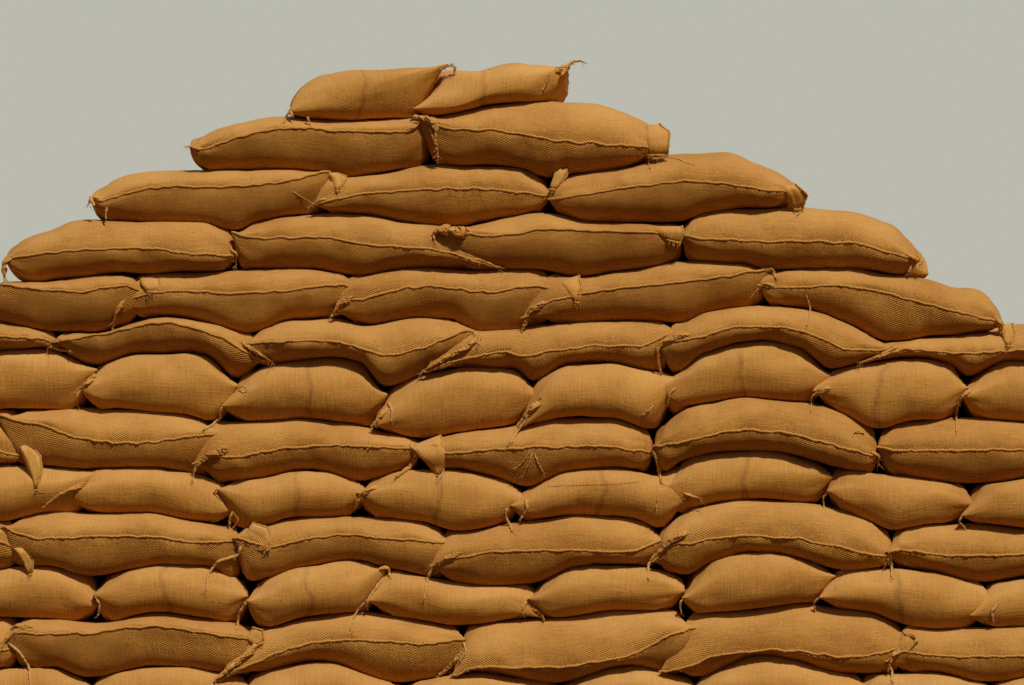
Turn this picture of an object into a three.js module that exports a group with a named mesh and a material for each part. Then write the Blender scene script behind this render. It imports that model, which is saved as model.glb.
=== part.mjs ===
import * as THREE from "three";
import { mergeVertices } from "three/addons/utils/BufferGeometryUtils.js";

// A block of filled 50 kg jute sacks, stacked by hand in thirteen courses. The lower seven are a
// wall in which sacks laid end-on alternate with sacks laid lengthways, and the upper six step in
// to a dome. Millimetres, +Z up, the front towards -Y, the origin at the middle of the base.

// Pitch of filled sacks that lie end to end, and side by side
const SACK_LENGTH = 756;
const SACK_WIDTH = 504;

// The front of every course, and the gap kept between one course and the next
const FRONT = -SACK_LENGTH;
const GAP = 0.3;

// Where two sacks of a course meet: how deep the cleft in the face is, how far it reaches along
// the sack, and how far the roll of each sack beside it reaches across the course
const CLEFT = 70;
const CLEFT_REACH = 150;
const ROLL = 60;
const END_CLEFT = 40;

// How far a sack has swelled to its full thickness, against the distance in from its edge:
// along its long side or folded end, at a joint, and at the end of a wall or dome course
const SIDE_SWELL = [[0, 0], [22, 0.6], [90, 1]];
const JOINT_SWELL = [[0, 0.45], [ROLL, 0.9], [130, 1]];
const WALL_END = [[0, 0], [40, 0.5], [130, 1]];
const DOME_END_TOP = [[0, 0], [45, 0.3], [110, 0.6], [200, 0.86], [320, 1]];
const DOME_END_UNDER = [[0, 0], [45, 0.65], [110, 0.92], [200, 1]];

// The lie of each course on what is below it, as [x, z], straight between the points and level
// beyond the last. The first is the floor, and the last is the top of the highest sacks.
const LIES = [
  [[-2268, 0], [2268, 0]],
  [[-2016, 163], [-1765, 136], [-1510, 156], [-1374, 163], [-1255, 129], [-1000, 163], [-718, 139],
    [-456, 180], [-177, 109], [71, 146], [354, 109], [598, 167], [816, 129], [1040, 201],
    [1380, 139], [1601, 143], [1822, 114], [2043, 143]],
  [[-1986, 333], [-1731, 320], [-1486, 337], [-1221, 316], [-1017, 350], [-864, 337], [-663, 299],
    [-524, 330], [-371, 350], [-259, 343], [30, 303], [156, 316], [303, 323], [598, 357],
    [717, 354], [795, 340], [1040, 367], [1176, 384], [1271, 367], [1414, 350], [1533, 309],
    [1652, 292], [1822, 299], [2043, 306]],
  [[-1996, 510], [-1720, 476], [-1391, 510], [-1221, 473], [-1000, 513], [-864, 510], [-704, 456],
    [-524, 503], [-337, 527], [-235, 503], [88, 445], [258, 449], [428, 510], [615, 513],
    [785, 483], [887, 530], [1030, 558], [1176, 537], [1312, 496], [1448, 500], [1618, 490],
    [1809, 452], [2043, 476]],
  [[-2020, 673], [-1765, 663], [-1544, 663], [-1391, 690], [-1051, 690], [-881, 663], [-704, 639],
    [-524, 677], [-303, 677], [-133, 663], [13, 626], [190, 656], [496, 683], [615, 670],
    [700, 643], [819, 707], [1023, 731], [1176, 721], [1278, 707], [1414, 666], [1499, 632],
    [1618, 656], [1771, 656], [1938, 639], [2110, 646]],
  [[-2020, 843], [-1765, 816], [-1510, 850], [-1204, 840], [-1034, 843], [-898, 823], [-796, 792],
    [-660, 809], [-490, 836], [-313, 799], [-150, 833], [-14, 836], [122, 816], [245, 779],
    [377, 830], [530, 843], [690, 819], [802, 881], [1006, 908], [1159, 887], [1295, 847],
    [1448, 823], [1618, 806], [1761, 789], [2026, 809]],
  [[-1986, 1047], [-1720, 1037], [-1476, 1047], [-1136, 1044], [-932, 1030], [-779, 1003],
    [-524, 1013], [-354, 993], [-235, 962], [-116, 945], [3, 966], [224, 989], [394, 1013],
    [530, 1013], [683, 972], [802, 1051], [989, 1081], [1176, 1068], [1329, 1027], [1455, 976],
    [1567, 1003], [1748, 1013], [1890, 1003], [2100, 993]],
  [[-1996, 1238], [-1741, 1197], [-1544, 1241], [-1391, 1251], [-1231, 1190], [-1085, 1227],
    [-949, 1234], [-847, 1221], [-752, 1152], [-626, 1193], [-456, 1214], [-320, 1200],
    [-240, 1122], [-82, 1170], [105, 1187], [207, 1176], [268, 1136], [394, 1193], [513, 1200],
    [649, 1176], [755, 1170], [853, 1238], [1023, 1275], [1176, 1255], [1285, 1180], [1414, 1204],
    [1567, 1214], [1686, 1197], [1760, 1149], [1890, 1204], [2080, 1200]],
  [[-2015, 1319], [-1867, 1346], [-1680, 1353], [-1544, 1343], [-1384, 1309], [-1238, 1302],
    [-1136, 1329], [-1000, 1357], [-864, 1343], [-704, 1312], [-558, 1346], [-415, 1350],
    [-303, 1326], [-150, 1350], [-14, 1357], [88, 1312], [207, 1316], [309, 1336], [666, 1343],
    [762, 1333], [870, 1370], [1057, 1397], [1193, 1384], [1346, 1333], [1490, 1275],
    [1652, 1295], [1856, 1306], [2026, 1319]],
  [[-1730, 1448], [-1612, 1469], [-1390, 1484], [-1187, 1503], [-1034, 1509], [-728, 1520],
    [-524, 1527], [-320, 1505], [-184, 1520], [-48, 1527], [88, 1520], [258, 1527], [422, 1499],
    [564, 1516], [785, 1544], [972, 1547], [1070, 1523], [1346, 1527], [1440, 1513], [1618, 1489],
    [1735, 1462]],
  [[-1391, 1666], [-1289, 1690], [-1100, 1681], [-864, 1676], [-758, 1652], [-653, 1693],
    [-479, 1714], [-320, 1707], [-150, 1683], [10, 1669], [190, 1697], [320, 1714], [462, 1686],
    [666, 1680], [768, 1686], [870, 1714], [1040, 1724], [1180, 1734], [1312, 1727],
    [1448, 1710]],
  [[-1102, 1860], [-983, 1863], [-770, 1863], [-456, 1863], [-364, 1839], [-269, 1850],
    [-75, 1877], [88, 1880], [224, 1870], [323, 1839], [428, 1850], [575, 1870], [720, 1910],
    [802, 1918], [938, 1918], [1040, 1900]],
  [[-745, 2038], [-626, 2042], [-425, 2030], [-184, 2040], [-82, 2043], [20, 2060], [156, 2088],
    [255, 2091], [428, 2091], [564, 2078]],
  [[-425, 2196], [-354, 2203], [-184, 2210], [-48, 2210], [54, 2200], [224, 2224], [260, 2222]],
];

// Each course from the floor up: how its sacks lie, how many deep, where they start, meet and
// end along X, how high their tips are between the lie below (0) and above (1), and its colour
const COURSES = [
  { lay: "headers", deep: 2, tips: 0.5, hue: 0xb5854a,
    joints: [-2255, -1765, -1255, -718, -177, 354, 816, 1380, 1822, 2250] },
  { lay: "stretchers", deep: 3, tips: 0.4, hue: 0xbd8b4c,
    joints: [-2245, -1486, -667, 30, 796, 1533, 2262] },
  { lay: "headers", deep: 2, tips: 0.5, hue: 0xb78547,
    joints: [-2262, -1731, -1221, -704, -259, 279, 785, 1271, 1809, 2240] },
  { lay: "stretchers", deep: 3, tips: 0.5, hue: 0xb98748,
    joints: [-2250, -1493, -728, -34, 700, 1499, 2268] },
  { lay: "headers", deep: 2, tips: 0.5, hue: 0xbb8849,
    joints: [-2268, -1782, -1255, -779, -313, 224, 768, 1275, 1761, 2255] },
  { lay: "stretchers", deep: 3, tips: 0.5, hue: 0xbe8b4b,
    joints: [-2240, -1482, -836, -109, 683, 1455, 2240] },
  { lay: "headers", deep: 2, tips: 0.5, hue: 0xba8748,
    joints: [-2268, -1741, -1241, -762, -252, 251, 741, 1261, 1748, 2258] },
  { lay: "stretchers", deep: 3, tips: 0.6, hue: 0xbb884a, dome: true,
    joints: [-2150, -1347, -670, 3, 728, 1465, 2224] },
  { lay: "stretchers", deep: 3, tips: 0.6, hue: 0xc08c4c, dome: true,
    joints: [-1867, -1078, -367, 333, 1068, 1867] },
  { lay: "stretchers", deep: 3, tips: 0.55, hue: 0xbf8d4e, dome: true, bare: true,
    joints: [-1527, -748, 27, 782, 1584] },
  { lay: "stretchers", deep: 2, tips: 0.5, hue: 0xc18e4e, dome: true, bare: true,
    joints: [-1238, -435, 323, 1176] },
  { lay: "stretchers", deep: 2, tips: 0.45, hue: 0xc38f4f, dome: true, bare: true,
    joints: [-904, -82, 707] },
  { lay: "headers", deep: 1, tips: 0.25, hue: 0xc69150,
    joints: [-558, -82, 388] },
];

const interpolate = (points, at) => {
  const next = points.findIndex(([x]) => x > at);
  if (next === 0) return points[0][1];
  if (next < 0) return points[points.length - 1][1];
  const [x0, value0] = points[next - 1];
  const [x1, value1] = points[next];
  return value0 + ((value1 - value0) * (at - x0)) / (x1 - x0);
};

const nearest = (places, at) => Math.min(...places.map((place) => Math.abs(place - at)));

const cleft = (distance) => CLEFT * Math.max(0, 1 - distance / CLEFT_REACH) ** 2;

// Adds to a course what follows from its place in the stack
function layCourse(course, index) {
  const pitch = course.lay === "headers" ? SACK_LENGTH : SACK_WIDTH;
  const last = course.joints.length - 1;
  return {
    ...course,
    name: `course_${String(index + 1).padStart(2, "0")}_${course.lay}`,
    under: LIES[index],
    top: LIES[index + 1],
    left: course.joints[0],
    right: course.joints[last],
    meets: course.joints.slice(1, last),
    back: FRONT + pitch * course.deep,
    clefts: Array.from({ length: course.deep - 1 }, (_, row) => FRONT + pitch * (row + 1)),
    cover: index + 1 < COURSES.length ? COURSES[index + 1].joints : null,
    onFloor: index === 0,
  };
}

// Height of a course's top or underside where its sacks have swelled by the given share
function skinHeight(course, side, x, swell) {
  const under = interpolate(course.under, x);
  const top = interpolate(course.top, x);
  const tip = under + course.tips * (top - under);
  const gap = course.onFloor ? 0 : GAP / 2;
  const skin = side === "top" ? top - GAP / 2 : under + gap;
  return tip + (skin - tip) * swell;
}

function endSwell(course, side, x) {
  const inset = Math.min(x - course.left, course.right - x);
  if (!course.dome) return interpolate(WALL_END, inset);
  return interpolate(side === "top" ? DOME_END_TOP : DOME_END_UNDER, inset);
}

// The stations along X at which a course is cut: its two ends, its joints, and each bend in the
// lie above and below it. A station near an end is notched where sacks meet across the course.
function stations(course) {
  const endShape = course.dome ? DOME_END_TOP : WALL_END;
  const insets = endShape.map(([inset]) => inset);
  const first = insets[1];
  const needed = [...course.under, ...course.top].map(([x]) => x);
  const inner = needed.filter((x) => x > course.left + insets[2] && x < course.right - insets[2]);
  const fixed = [...inner, ...course.meets];
  const wished = [
    ...insets.slice(2).flatMap((inset) => [course.left + inset, course.right - inset]),
    ...course.meets.flatMap((x) => [x - ROLL, x + ROLL]),
  ];
  const spare = wished.filter((x) => nearest(fixed, x) > ROLL / 3);
  const places = [...new Set([...fixed, ...spare])].sort((a, b) => a - b);
  return [
    { x: course.left, notch: CLEFT },
    { x: course.left + first, notch: END_CLEFT },
    ...places.map((x) => ({ x, notch: 0 })),
    { x: course.right - first, notch: -END_CLEFT },
    { x: course.right, notch: -CLEFT },
  ];
}

// Whether the joints between the rows of sacks across a course show at this station
function showsClefts(course, side, x) {
  const inset = Math.min(x - course.left, course.right - x);
  if (inset <= WALL_END[2][0]) return true;
  if (side !== "top" || !course.dome || !course.cover) return false;
  const { cover } = course;
  return course.bare || x < cover[0] + CLEFT_REACH || x > cover[cover.length - 1] - CLEFT_REACH;
}

// The line of points that runs from the front to the back of a course at one station
function stationLine(course, side, { x, notch }) {
  const toJoint = nearest(course.joints, x);
  const toMeet = course.meets.length ? nearest(course.meets, x) : CLEFT_REACH;
  const pressedFlat = course.onFloor && side === "under";
  const groove = pressedFlat ? 1 : interpolate(JOINT_SWELL, toMeet);
  const end = endSwell(course, side, x);
  const face = cleft(toJoint);
  const edge = SIDE_SWELL.map(([inset, swell], step) => ({
    inset: face + inset,
    swell: swell * (step < 2 ? groove ** 2 : groove),
  }));
  const clefts = showsClefts(course, side, x) ? course.clefts : [];
  const rows = [
    ...edge.map(({ inset, swell }) => ({ y: FRONT + inset, swell, pinch: 0 })),
    ...clefts.flatMap((y) => [
      { y: y - ROLL, swell: groove, pinch: 0 },
      { y, swell: groove * JOINT_SWELL[0][1], pinch: notch },
      { y: y + ROLL, swell: groove, pinch: 0 },
    ]),
    ...edge.reverse().map(({ inset, swell }) => ({ y: course.back - inset, swell, pinch: 0 })),
  ];
  return rows.map(({ y, swell, pinch }) => [
    x + pinch, y, skinHeight(course, side, x, swell * end),
  ]);
}

// Triangles between two neighbouring lines of points, always across the shorter way
function stitch(lineA, lineB, triangles) {
  let a = 0;
  let b = 0;
  while (a < lineA.length - 1 || b < lineB.length - 1) {
    const overA = a < lineA.length - 1 ? Math.abs(lineA[a + 1][1] - lineB[b][1]) : Infinity;
    const overB = b < lineB.length - 1 ? Math.abs(lineB[b + 1][1] - lineA[a][1]) : Infinity;
    if (overA <= overB) {
      triangles.push([lineA[a], lineB[b], lineA[a + 1]]);
      a += 1;
    } else {
      triangles.push([lineA[a], lineB[b], lineB[b + 1]]);
      b += 1;
    }
  }
}

function skinTriangles(course, side) {
  const lines = stations(course).map((station) => stationLine(course, side, station));
  const triangles = [];
  for (let i = 1; i < lines.length; i += 1) stitch(lines[i - 1], lines[i], triangles);
  return side === "top" ? triangles : triangles.map(([p, q, r]) => [p, r, q]);
}

function courseMesh(course) {
  const triangles = [...skinTriangles(course, "top"), ...skinTriangles(course, "under")];
  const geometry = new THREE.BufferGeometry();
  geometry.setAttribute("position", new THREE.Float32BufferAttribute(triangles.flat(2), 3));
  const merged = mergeVertices(geometry);
  merged.computeVertexNormals();
  const material = new THREE.MeshStandardMaterial({
    color: course.hue, roughness: 0.95, metalness: 0,
  });
  const mesh = new THREE.Mesh(merged, material);
  mesh.name = course.name;
  return mesh;
}

const stack = new THREE.Group();
COURSES.map(layCourse).forEach((course) => stack.add(courseMesh(course)));

export default stack;
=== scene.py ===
"""A block of filled jute sacks, stacked by hand in thirteen courses on a level floor.

Every sack is a piece of its own: a bag with a crown and a belly and, where it shows, a corded seam
along both long sides, a folded end, a sewn mouth, ears at its corners and loose twine. Metres,
+Z up, the front towards -Y, as in the frame.
"""
import math

import bpy
import numpy as np
from mathutils.bvhtree import BVHTree
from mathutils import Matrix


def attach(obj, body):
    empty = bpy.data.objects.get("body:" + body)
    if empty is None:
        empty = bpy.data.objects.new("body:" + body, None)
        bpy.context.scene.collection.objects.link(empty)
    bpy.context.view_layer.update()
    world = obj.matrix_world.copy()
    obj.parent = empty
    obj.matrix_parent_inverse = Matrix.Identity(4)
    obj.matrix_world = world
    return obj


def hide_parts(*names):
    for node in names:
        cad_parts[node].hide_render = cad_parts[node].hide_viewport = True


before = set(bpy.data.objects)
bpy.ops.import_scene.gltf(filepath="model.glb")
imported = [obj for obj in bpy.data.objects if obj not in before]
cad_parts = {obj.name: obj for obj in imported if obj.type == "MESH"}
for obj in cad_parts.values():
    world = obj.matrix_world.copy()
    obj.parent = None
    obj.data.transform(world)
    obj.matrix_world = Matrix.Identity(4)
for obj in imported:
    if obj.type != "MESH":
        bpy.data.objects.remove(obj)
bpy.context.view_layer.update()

# A filled sack as it lies in the stack, which is as deep as two sacks end-on or three lengthways
MM = 0.001
SACK_LENGTH = 756 * MM
SACK_WIDTH = 504 * MM
DEPTH = 2 * SACK_LENGTH
FRONT = -DEPTH / 2

# The front of the stack in the photograph: the size of a pixel there, the pixel column of X = 0,
# the pixel row of the floor, and the width and height of the picture
PIXEL = 3.4 * MM
PIXEL_AXIS = 454
PIXEL_FLOOR = 716
PICTURE = (1024, 685)

# The faces between the courses along the front, from the floor to the top: X and height in
# millimetres, as in the CAD source
LIES = [
    [(-2268, 0), (2268, 0)],
    [(-2016, 163), (-1765, 136), (-1510, 156), (-1374, 163), (-1255, 129), (-1000, 163),
     (-718, 139), (-456, 180), (-177, 109), (71, 146), (354, 109), (598, 167), (816, 129),
     (1040, 201), (1380, 139), (1601, 143), (1822, 114), (2043, 143)],
    [(-1986, 333), (-1731, 320), (-1486, 337), (-1221, 316), (-1017, 350), (-864, 337),
     (-663, 299), (-524, 330), (-371, 350), (-259, 343), (30, 303), (156, 316), (303, 323),
     (598, 357), (717, 354), (795, 340), (1040, 367), (1176, 384), (1271, 367), (1414, 350),
     (1533, 309), (1652, 292), (1822, 299), (2043, 306)],
    [(-1996, 510), (-1720, 476), (-1391, 510), (-1221, 473), (-1000, 513), (-864, 510),
     (-704, 456), (-524, 503), (-337, 527), (-235, 503), (88, 445), (258, 449), (428, 510),
     (615, 513), (785, 483), (887, 530), (1030, 558), (1176, 537), (1312, 496), (1448, 500),
     (1618, 490), (1809, 452), (2043, 476)],
    [(-2020, 673), (-1765, 663), (-1544, 663), (-1391, 690), (-1051, 690), (-881, 663),
     (-704, 639), (-524, 677), (-303, 677), (-133, 663), (13, 626), (190, 656), (496, 683),
     (615, 670), (700, 643), (819, 707), (1023, 731), (1176, 721), (1278, 707), (1414, 666),
     (1499, 632), (1618, 656), (1771, 656), (1938, 639), (2110, 646)],
    [(-2020, 843), (-1765, 816), (-1510, 850), (-1204, 840), (-1034, 843), (-898, 823),
     (-796, 792), (-660, 809), (-490, 836), (-313, 799), (-150, 833), (-14, 836), (122, 816),
     (245, 779), (377, 830), (530, 843), (690, 819), (802, 881), (1006, 908), (1159, 887),
     (1295, 847), (1448, 823), (1618, 806), (1761, 789), (2026, 809)],
    [(-1986, 1047), (-1720, 1037), (-1476, 1047), (-1136, 1044), (-932, 1030), (-779, 1003),
     (-524, 1013), (-354, 993), (-235, 962), (-116, 945), (3, 966), (224, 989), (394, 1013),
     (530, 1013), (683, 972), (802, 1051), (989, 1081), (1176, 1068), (1329, 1027), (1455, 976),
     (1567, 1003), (1748, 1013), (1890, 1003), (2100, 993)],
    [(-1996, 1238), (-1741, 1197), (-1544, 1241), (-1391, 1251), (-1231, 1190), (-1085, 1227),
     (-949, 1234), (-847, 1221), (-752, 1152), (-626, 1193), (-456, 1214), (-320, 1200),
     (-240, 1122), (-82, 1170), (105, 1187), (207, 1176), (268, 1136), (394, 1193), (513, 1200),
     (649, 1176), (755, 1170), (853, 1238), (1023, 1275), (1176, 1255), (1285, 1180), (1414, 1204),
     (1567, 1214), (1686, 1197), (1760, 1149), (1890, 1204), (2080, 1200)],
    [(-2015, 1319), (-1867, 1346), (-1680, 1353), (-1544, 1343), (-1384, 1309), (-1238, 1302),
     (-1136, 1329), (-1000, 1357), (-864, 1343), (-704, 1312), (-558, 1346), (-415, 1350),
     (-303, 1326), (-150, 1350), (-14, 1357), (88, 1312), (207, 1316), (309, 1336), (666, 1343),
     (762, 1333), (870, 1370), (1057, 1397), (1193, 1384), (1346, 1333), (1490, 1275),
     (1652, 1295), (1856, 1306), (2026, 1319)],
    [(-1730, 1448), (-1612, 1469), (-1390, 1484), (-1187, 1503), (-1034, 1509), (-728, 1520),
     (-524, 1527), (-320, 1505), (-184, 1520), (-48, 1527), (88, 1520), (258, 1527), (422, 1499),
     (564, 1516), (785, 1544), (972, 1547), (1070, 1523), (1346, 1527), (1440, 1513), (1618, 1489),
     (1735, 1462)],
    [(-1391, 1666), (-1289, 1690), (-1100, 1681), (-864, 1676), (-758, 1652), (-653, 1693),
     (-479, 1714), (-320, 1707), (-150, 1683), (10, 1669), (190, 1697), (320, 1714), (462, 1686),
     (666, 1680), (768, 1686), (870, 1714), (1040, 1724), (1180, 1734), (1312, 1727),
     (1448, 1710)],
    [(-1102, 1860), (-983, 1863), (-770, 1863), (-456, 1863), (-364, 1839), (-269, 1850),
     (-75, 1877), (88, 1880), (224, 1870), (323, 1839), (428, 1850), (575, 1870), (720, 1910),
     (802, 1918), (938, 1918), (1040, 1900)],
    [(-745, 2038), (-626, 2042), (-425, 2030), (-184, 2040), (-82, 2043), (20, 2060), (156, 2088),
     (255, 2091), (428, 2091), (564, 2078)],
    [(-425, 2196), (-354, 2203), (-184, 2210), (-48, 2210), (54, 2200), (224, 2224), (260, 2222)],
]

# Each course from the floor up: its CAD node, how many sacks deep it is, how high its tips lie
# between what is below (0) and above (1), and where its sacks start, meet and end along X, in
# millimetres as in the CAD source
COURSES = [
    ("course_01_headers", 2, 0.5, [-2255, -1765, -1255, -718, -177, 354, 816, 1380, 1822, 2250]),
    ("course_02_stretchers", 3, 0.4, [-2245, -1486, -667, 30, 796, 1533, 2262]),
    ("course_03_headers", 2, 0.5, [-2262, -1731, -1221, -704, -259, 279, 785, 1271, 1809, 2240]),
    ("course_04_stretchers", 3, 0.5, [-2250, -1493, -728, -34, 700, 1499, 2268]),
    ("course_05_headers", 2, 0.5, [-2268, -1782, -1255, -779, -313, 224, 768, 1275, 1761, 2255]),
    ("course_06_stretchers", 3, 0.5, [-2240, -1482, -836, -109, 683, 1455, 2240]),
    ("course_07_headers", 2, 0.5, [-2268, -1741, -1241, -762, -252, 251, 741, 1261, 1748, 2258]),
    ("course_08_stretchers", 3, 0.6, [-2150, -1347, -670, 3, 728, 1465, 2224]),
    ("course_09_stretchers", 3, 0.6, [-1867, -1078, -367, 333, 1068, 1867]),
    ("course_10_stretchers", 3, 0.55, [-1527, -748, 27, 782, 1584]),
    ("course_11_stretchers", 2, 0.5, [-1238, -435, 323, 1176]),
    ("course_12_stretchers", 2, 0.45, [-904, -82, 707]),
    ("course_13_headers", 1, 0.25, [-558, -82, 388]),
]

# The sacks of the front that the photograph shows, as pixels there, by course and place from the
# left. A sack laid lengthways has its seam line, from its left tip to its right one.
SEAMS = {
    (2, 1): [(5, 640), (15, 632), (40, 634), (90, 633), (130, 627), (150, 626), (200, 632),
             (245, 638), (260, 636)],
    (2, 2): [(215, 682), (238, 669), (260, 661), (280, 652), (320, 642), (360, 640), (420, 644),
             (466, 640)],
    (2, 3): [(450, 676), (480, 667), (550, 667), (600, 661), (640, 651), (670, 635), (700, 628)],
    (2, 4): [(659, 672), (680, 669), (720, 655), (780, 650), (850, 657), (900, 648), (914, 640)],
    (2, 5): [(886, 662), (900, 652), (930, 655), (1000, 657), (1060, 654), (1119, 655)],
    (4, 0): [(-208, 548), (-150, 540), (-60, 536), (0, 542), (27, 552)],
    (4, 1): [(0, 526), (20, 534), (40, 538), (110, 536), (170, 538), (190, 542), (240, 541)],
    (4, 2): [(232, 538), (270, 547), (310, 538), (350, 535), (400, 539), (457, 543)],
    (4, 3): [(429, 566), (460, 557), (500, 551), (560, 550), (630, 551), (664, 541)],
    (4, 4): [(652, 562), (668, 546), (690, 543), (740, 536), (790, 538), (830, 545), (896, 557)],
    (4, 5): [(886, 552), (900, 550), (960, 556), (1024, 554), (1121, 552)],
    (6, 0): [(-204, 446), (-120, 440), (-30, 444), (24, 456)],
    (6, 1): [(-6, 414), (18, 421), (40, 425), (80, 438), (130, 443), (180, 438), (226, 434)],
    (6, 2): [(192, 464), (212, 455), (240, 457), (260, 452), (290, 448), (330, 445), (419, 449)],
    (6, 3): [(422, 447), (447, 453), (510, 448), (600, 446), (654, 452)],
    (6, 4): [(654, 446), (690, 440), (740, 430), (780, 432), (820, 441), (860, 452), (881, 456)],
    (6, 5): [(877, 447), (900, 451), (960, 450), (1024, 450), (1112, 452)],
    (8, 0): [(-178, 346), (-100, 332), (0, 337), (40, 338), (60, 346)],
    (8, 1): [(52, 341), (90, 336), (130, 328), (160, 322), (190, 327), (210, 333), (230, 342),
             (255, 357), (268, 361)],
    (8, 2): [(243, 344), (280, 341), (330, 341), (370, 351), (385, 355), (415, 350), (445, 339),
             (465, 331), (478, 332)],
    (8, 3): [(424, 372), (450, 362), (475, 357), (505, 352), (520, 356), (560, 350), (600, 346),
             (640, 346), (665, 336), (681, 331)],
    (8, 4): [(657, 347), (672, 342), (700, 337), (740, 327), (780, 327), (815, 335), (850, 350),
             (880, 351), (897, 346)],
    (8, 5): [(860, 362), (885, 355), (905, 349), (960, 353), (1024, 350), (1060, 351), (1108, 352)],
    (9, 0): [(-95, 297), (-60, 290), (0, 285), (40, 289), (80, 292), (100, 288), (120, 286),
             (150, 291)],
    (9, 1): [(119, 301), (145, 294), (180, 291), (240, 293), (290, 290), (330, 285), (359, 287)],
    (9, 2): [(331, 316), (342, 303), (370, 297), (400, 289), (430, 286), (460, 289), (490, 292),
             (530, 286), (566, 288)],
    (9, 3): [(521, 318), (540, 305), (585, 293), (620, 288), (660, 284), (720, 277), (774, 269)],
    (9, 4): [(758, 285), (780, 288), (835, 285), (870, 290), (920, 302), (960, 312), (1004, 321)],
    (10, 0): [(4, 258), (30, 255), (50, 253), (80, 250), (150, 248), (190, 254), (236, 255)],
    (10, 1): [(231, 232), (245, 236), (270, 238), (320, 237), (360, 243), (400, 247), (440, 250),
              (460, 256), (480, 260), (506, 268)],
    (10, 2): [(434, 230), (462, 233), (480, 236), (520, 233), (545, 229), (600, 231), (650, 232),
              (684, 236)],
    (10, 3): [(680, 236), (700, 238), (760, 241), (840, 242), (860, 244), (880, 250), (922, 259)],
    (11, 0): [(89, 198), (100, 200), (120, 195), (140, 190), (180, 186), (200, 187), (260, 184),
              (290, 180), (330, 171)],
    (11, 1): [(312, 204), (337, 198), (370, 193), (400, 191), (450, 188), (500, 190), (551, 195)],
    (11, 2): [(548, 199), (570, 197), (600, 192), (640, 186), (690, 181), (720, 183), (760, 189),
              (800, 192)],
    (12, 0): [(189, 147), (200, 149), (210, 147), (220, 144), (230, 140), (250, 134), (280, 129),
              (300, 128), (340, 131), (400, 132), (434, 123)],
    (12, 1): [(418, 121), (450, 129), (490, 130), (530, 136), (570, 142), (600, 144), (640, 147),
              (664, 151)],
}

# A sack laid end-on has its left and right tips
TIPS = {
    (3, 1): ((-62, 598), (97, 606)),
    (3, 2): ((92, 595), (247, 597)),
    (3, 3): ((246, 601), (388, 567)),
    (3, 4): ((365, 601), (543, 618)),
    (3, 5): ((527, 599), (686, 592)),
    (3, 6): ((682, 598), (838, 577)),
    (3, 7): ((818, 598), (997, 603)),
    (3, 8): ((970, 616), (1120, 598)),
    (5, 1): ((-76, 500), (105, 473)),
    (5, 2): ((64, 493), (233, 511)),
    (5, 3): ((216, 489), (370, 492)),
    (5, 4): ((356, 493), (527, 500)),
    (5, 5): ((510, 506), (697, 498)),
    (5, 6): ((660, 487), (835, 478)),
    (5, 7): ((827, 491), (976, 505)),
    (5, 8): ((961, 516), (1122, 496)),
    (7, 1): ((-62, 392), (97, 370)),
    (7, 2): ((79, 389), (238, 386)),
    (7, 3): ((221, 406), (388, 395)),
    (7, 4): ((371, 426), (540, 395)),
    (7, 5): ((517, 429), (683, 378)),
    (7, 6): ((659, 386), (836, 376)),
    (7, 7): ((812, 391), (970, 388)),
    (7, 8): ((961, 396), (1122, 380)),
    (13, 0): ((289, 111), (450, 63)),
    (13, 1): ((412, 108), (567, 66)),
}

# How high the rims of some sacks lie at their left and right sides, where they slant
LEANS = {(13, 0): (0.08, 0.95), (13, 1): (0.05, 0.6), (10, 3): (0.55, 0.40), (9, 4): (0.6, 0.12)}

# Sacks of the front that stick out, so that their shade falls on those below, by how many
# millimetres
PUSHED = {(10, 0): 22, (9, 0): 20, (11, 2): 22, (10, 3): 18, (10, 2): 16, (12, 1): 18,
          (7, 5): 10, (6, 1): 14, (4, 4): 14, (8, 4): 12, (6, 4): 12, (2, 3): 12}

# Sacks of the front with a plain faded band across their middle
BANDED = [(3, 2), (3, 3), (3, 7), (5, 3), (5, 4), (5, 5), (5, 6), (7, 3), (7, 6), (7, 7), (13, 0),
          (13, 1)]

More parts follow.
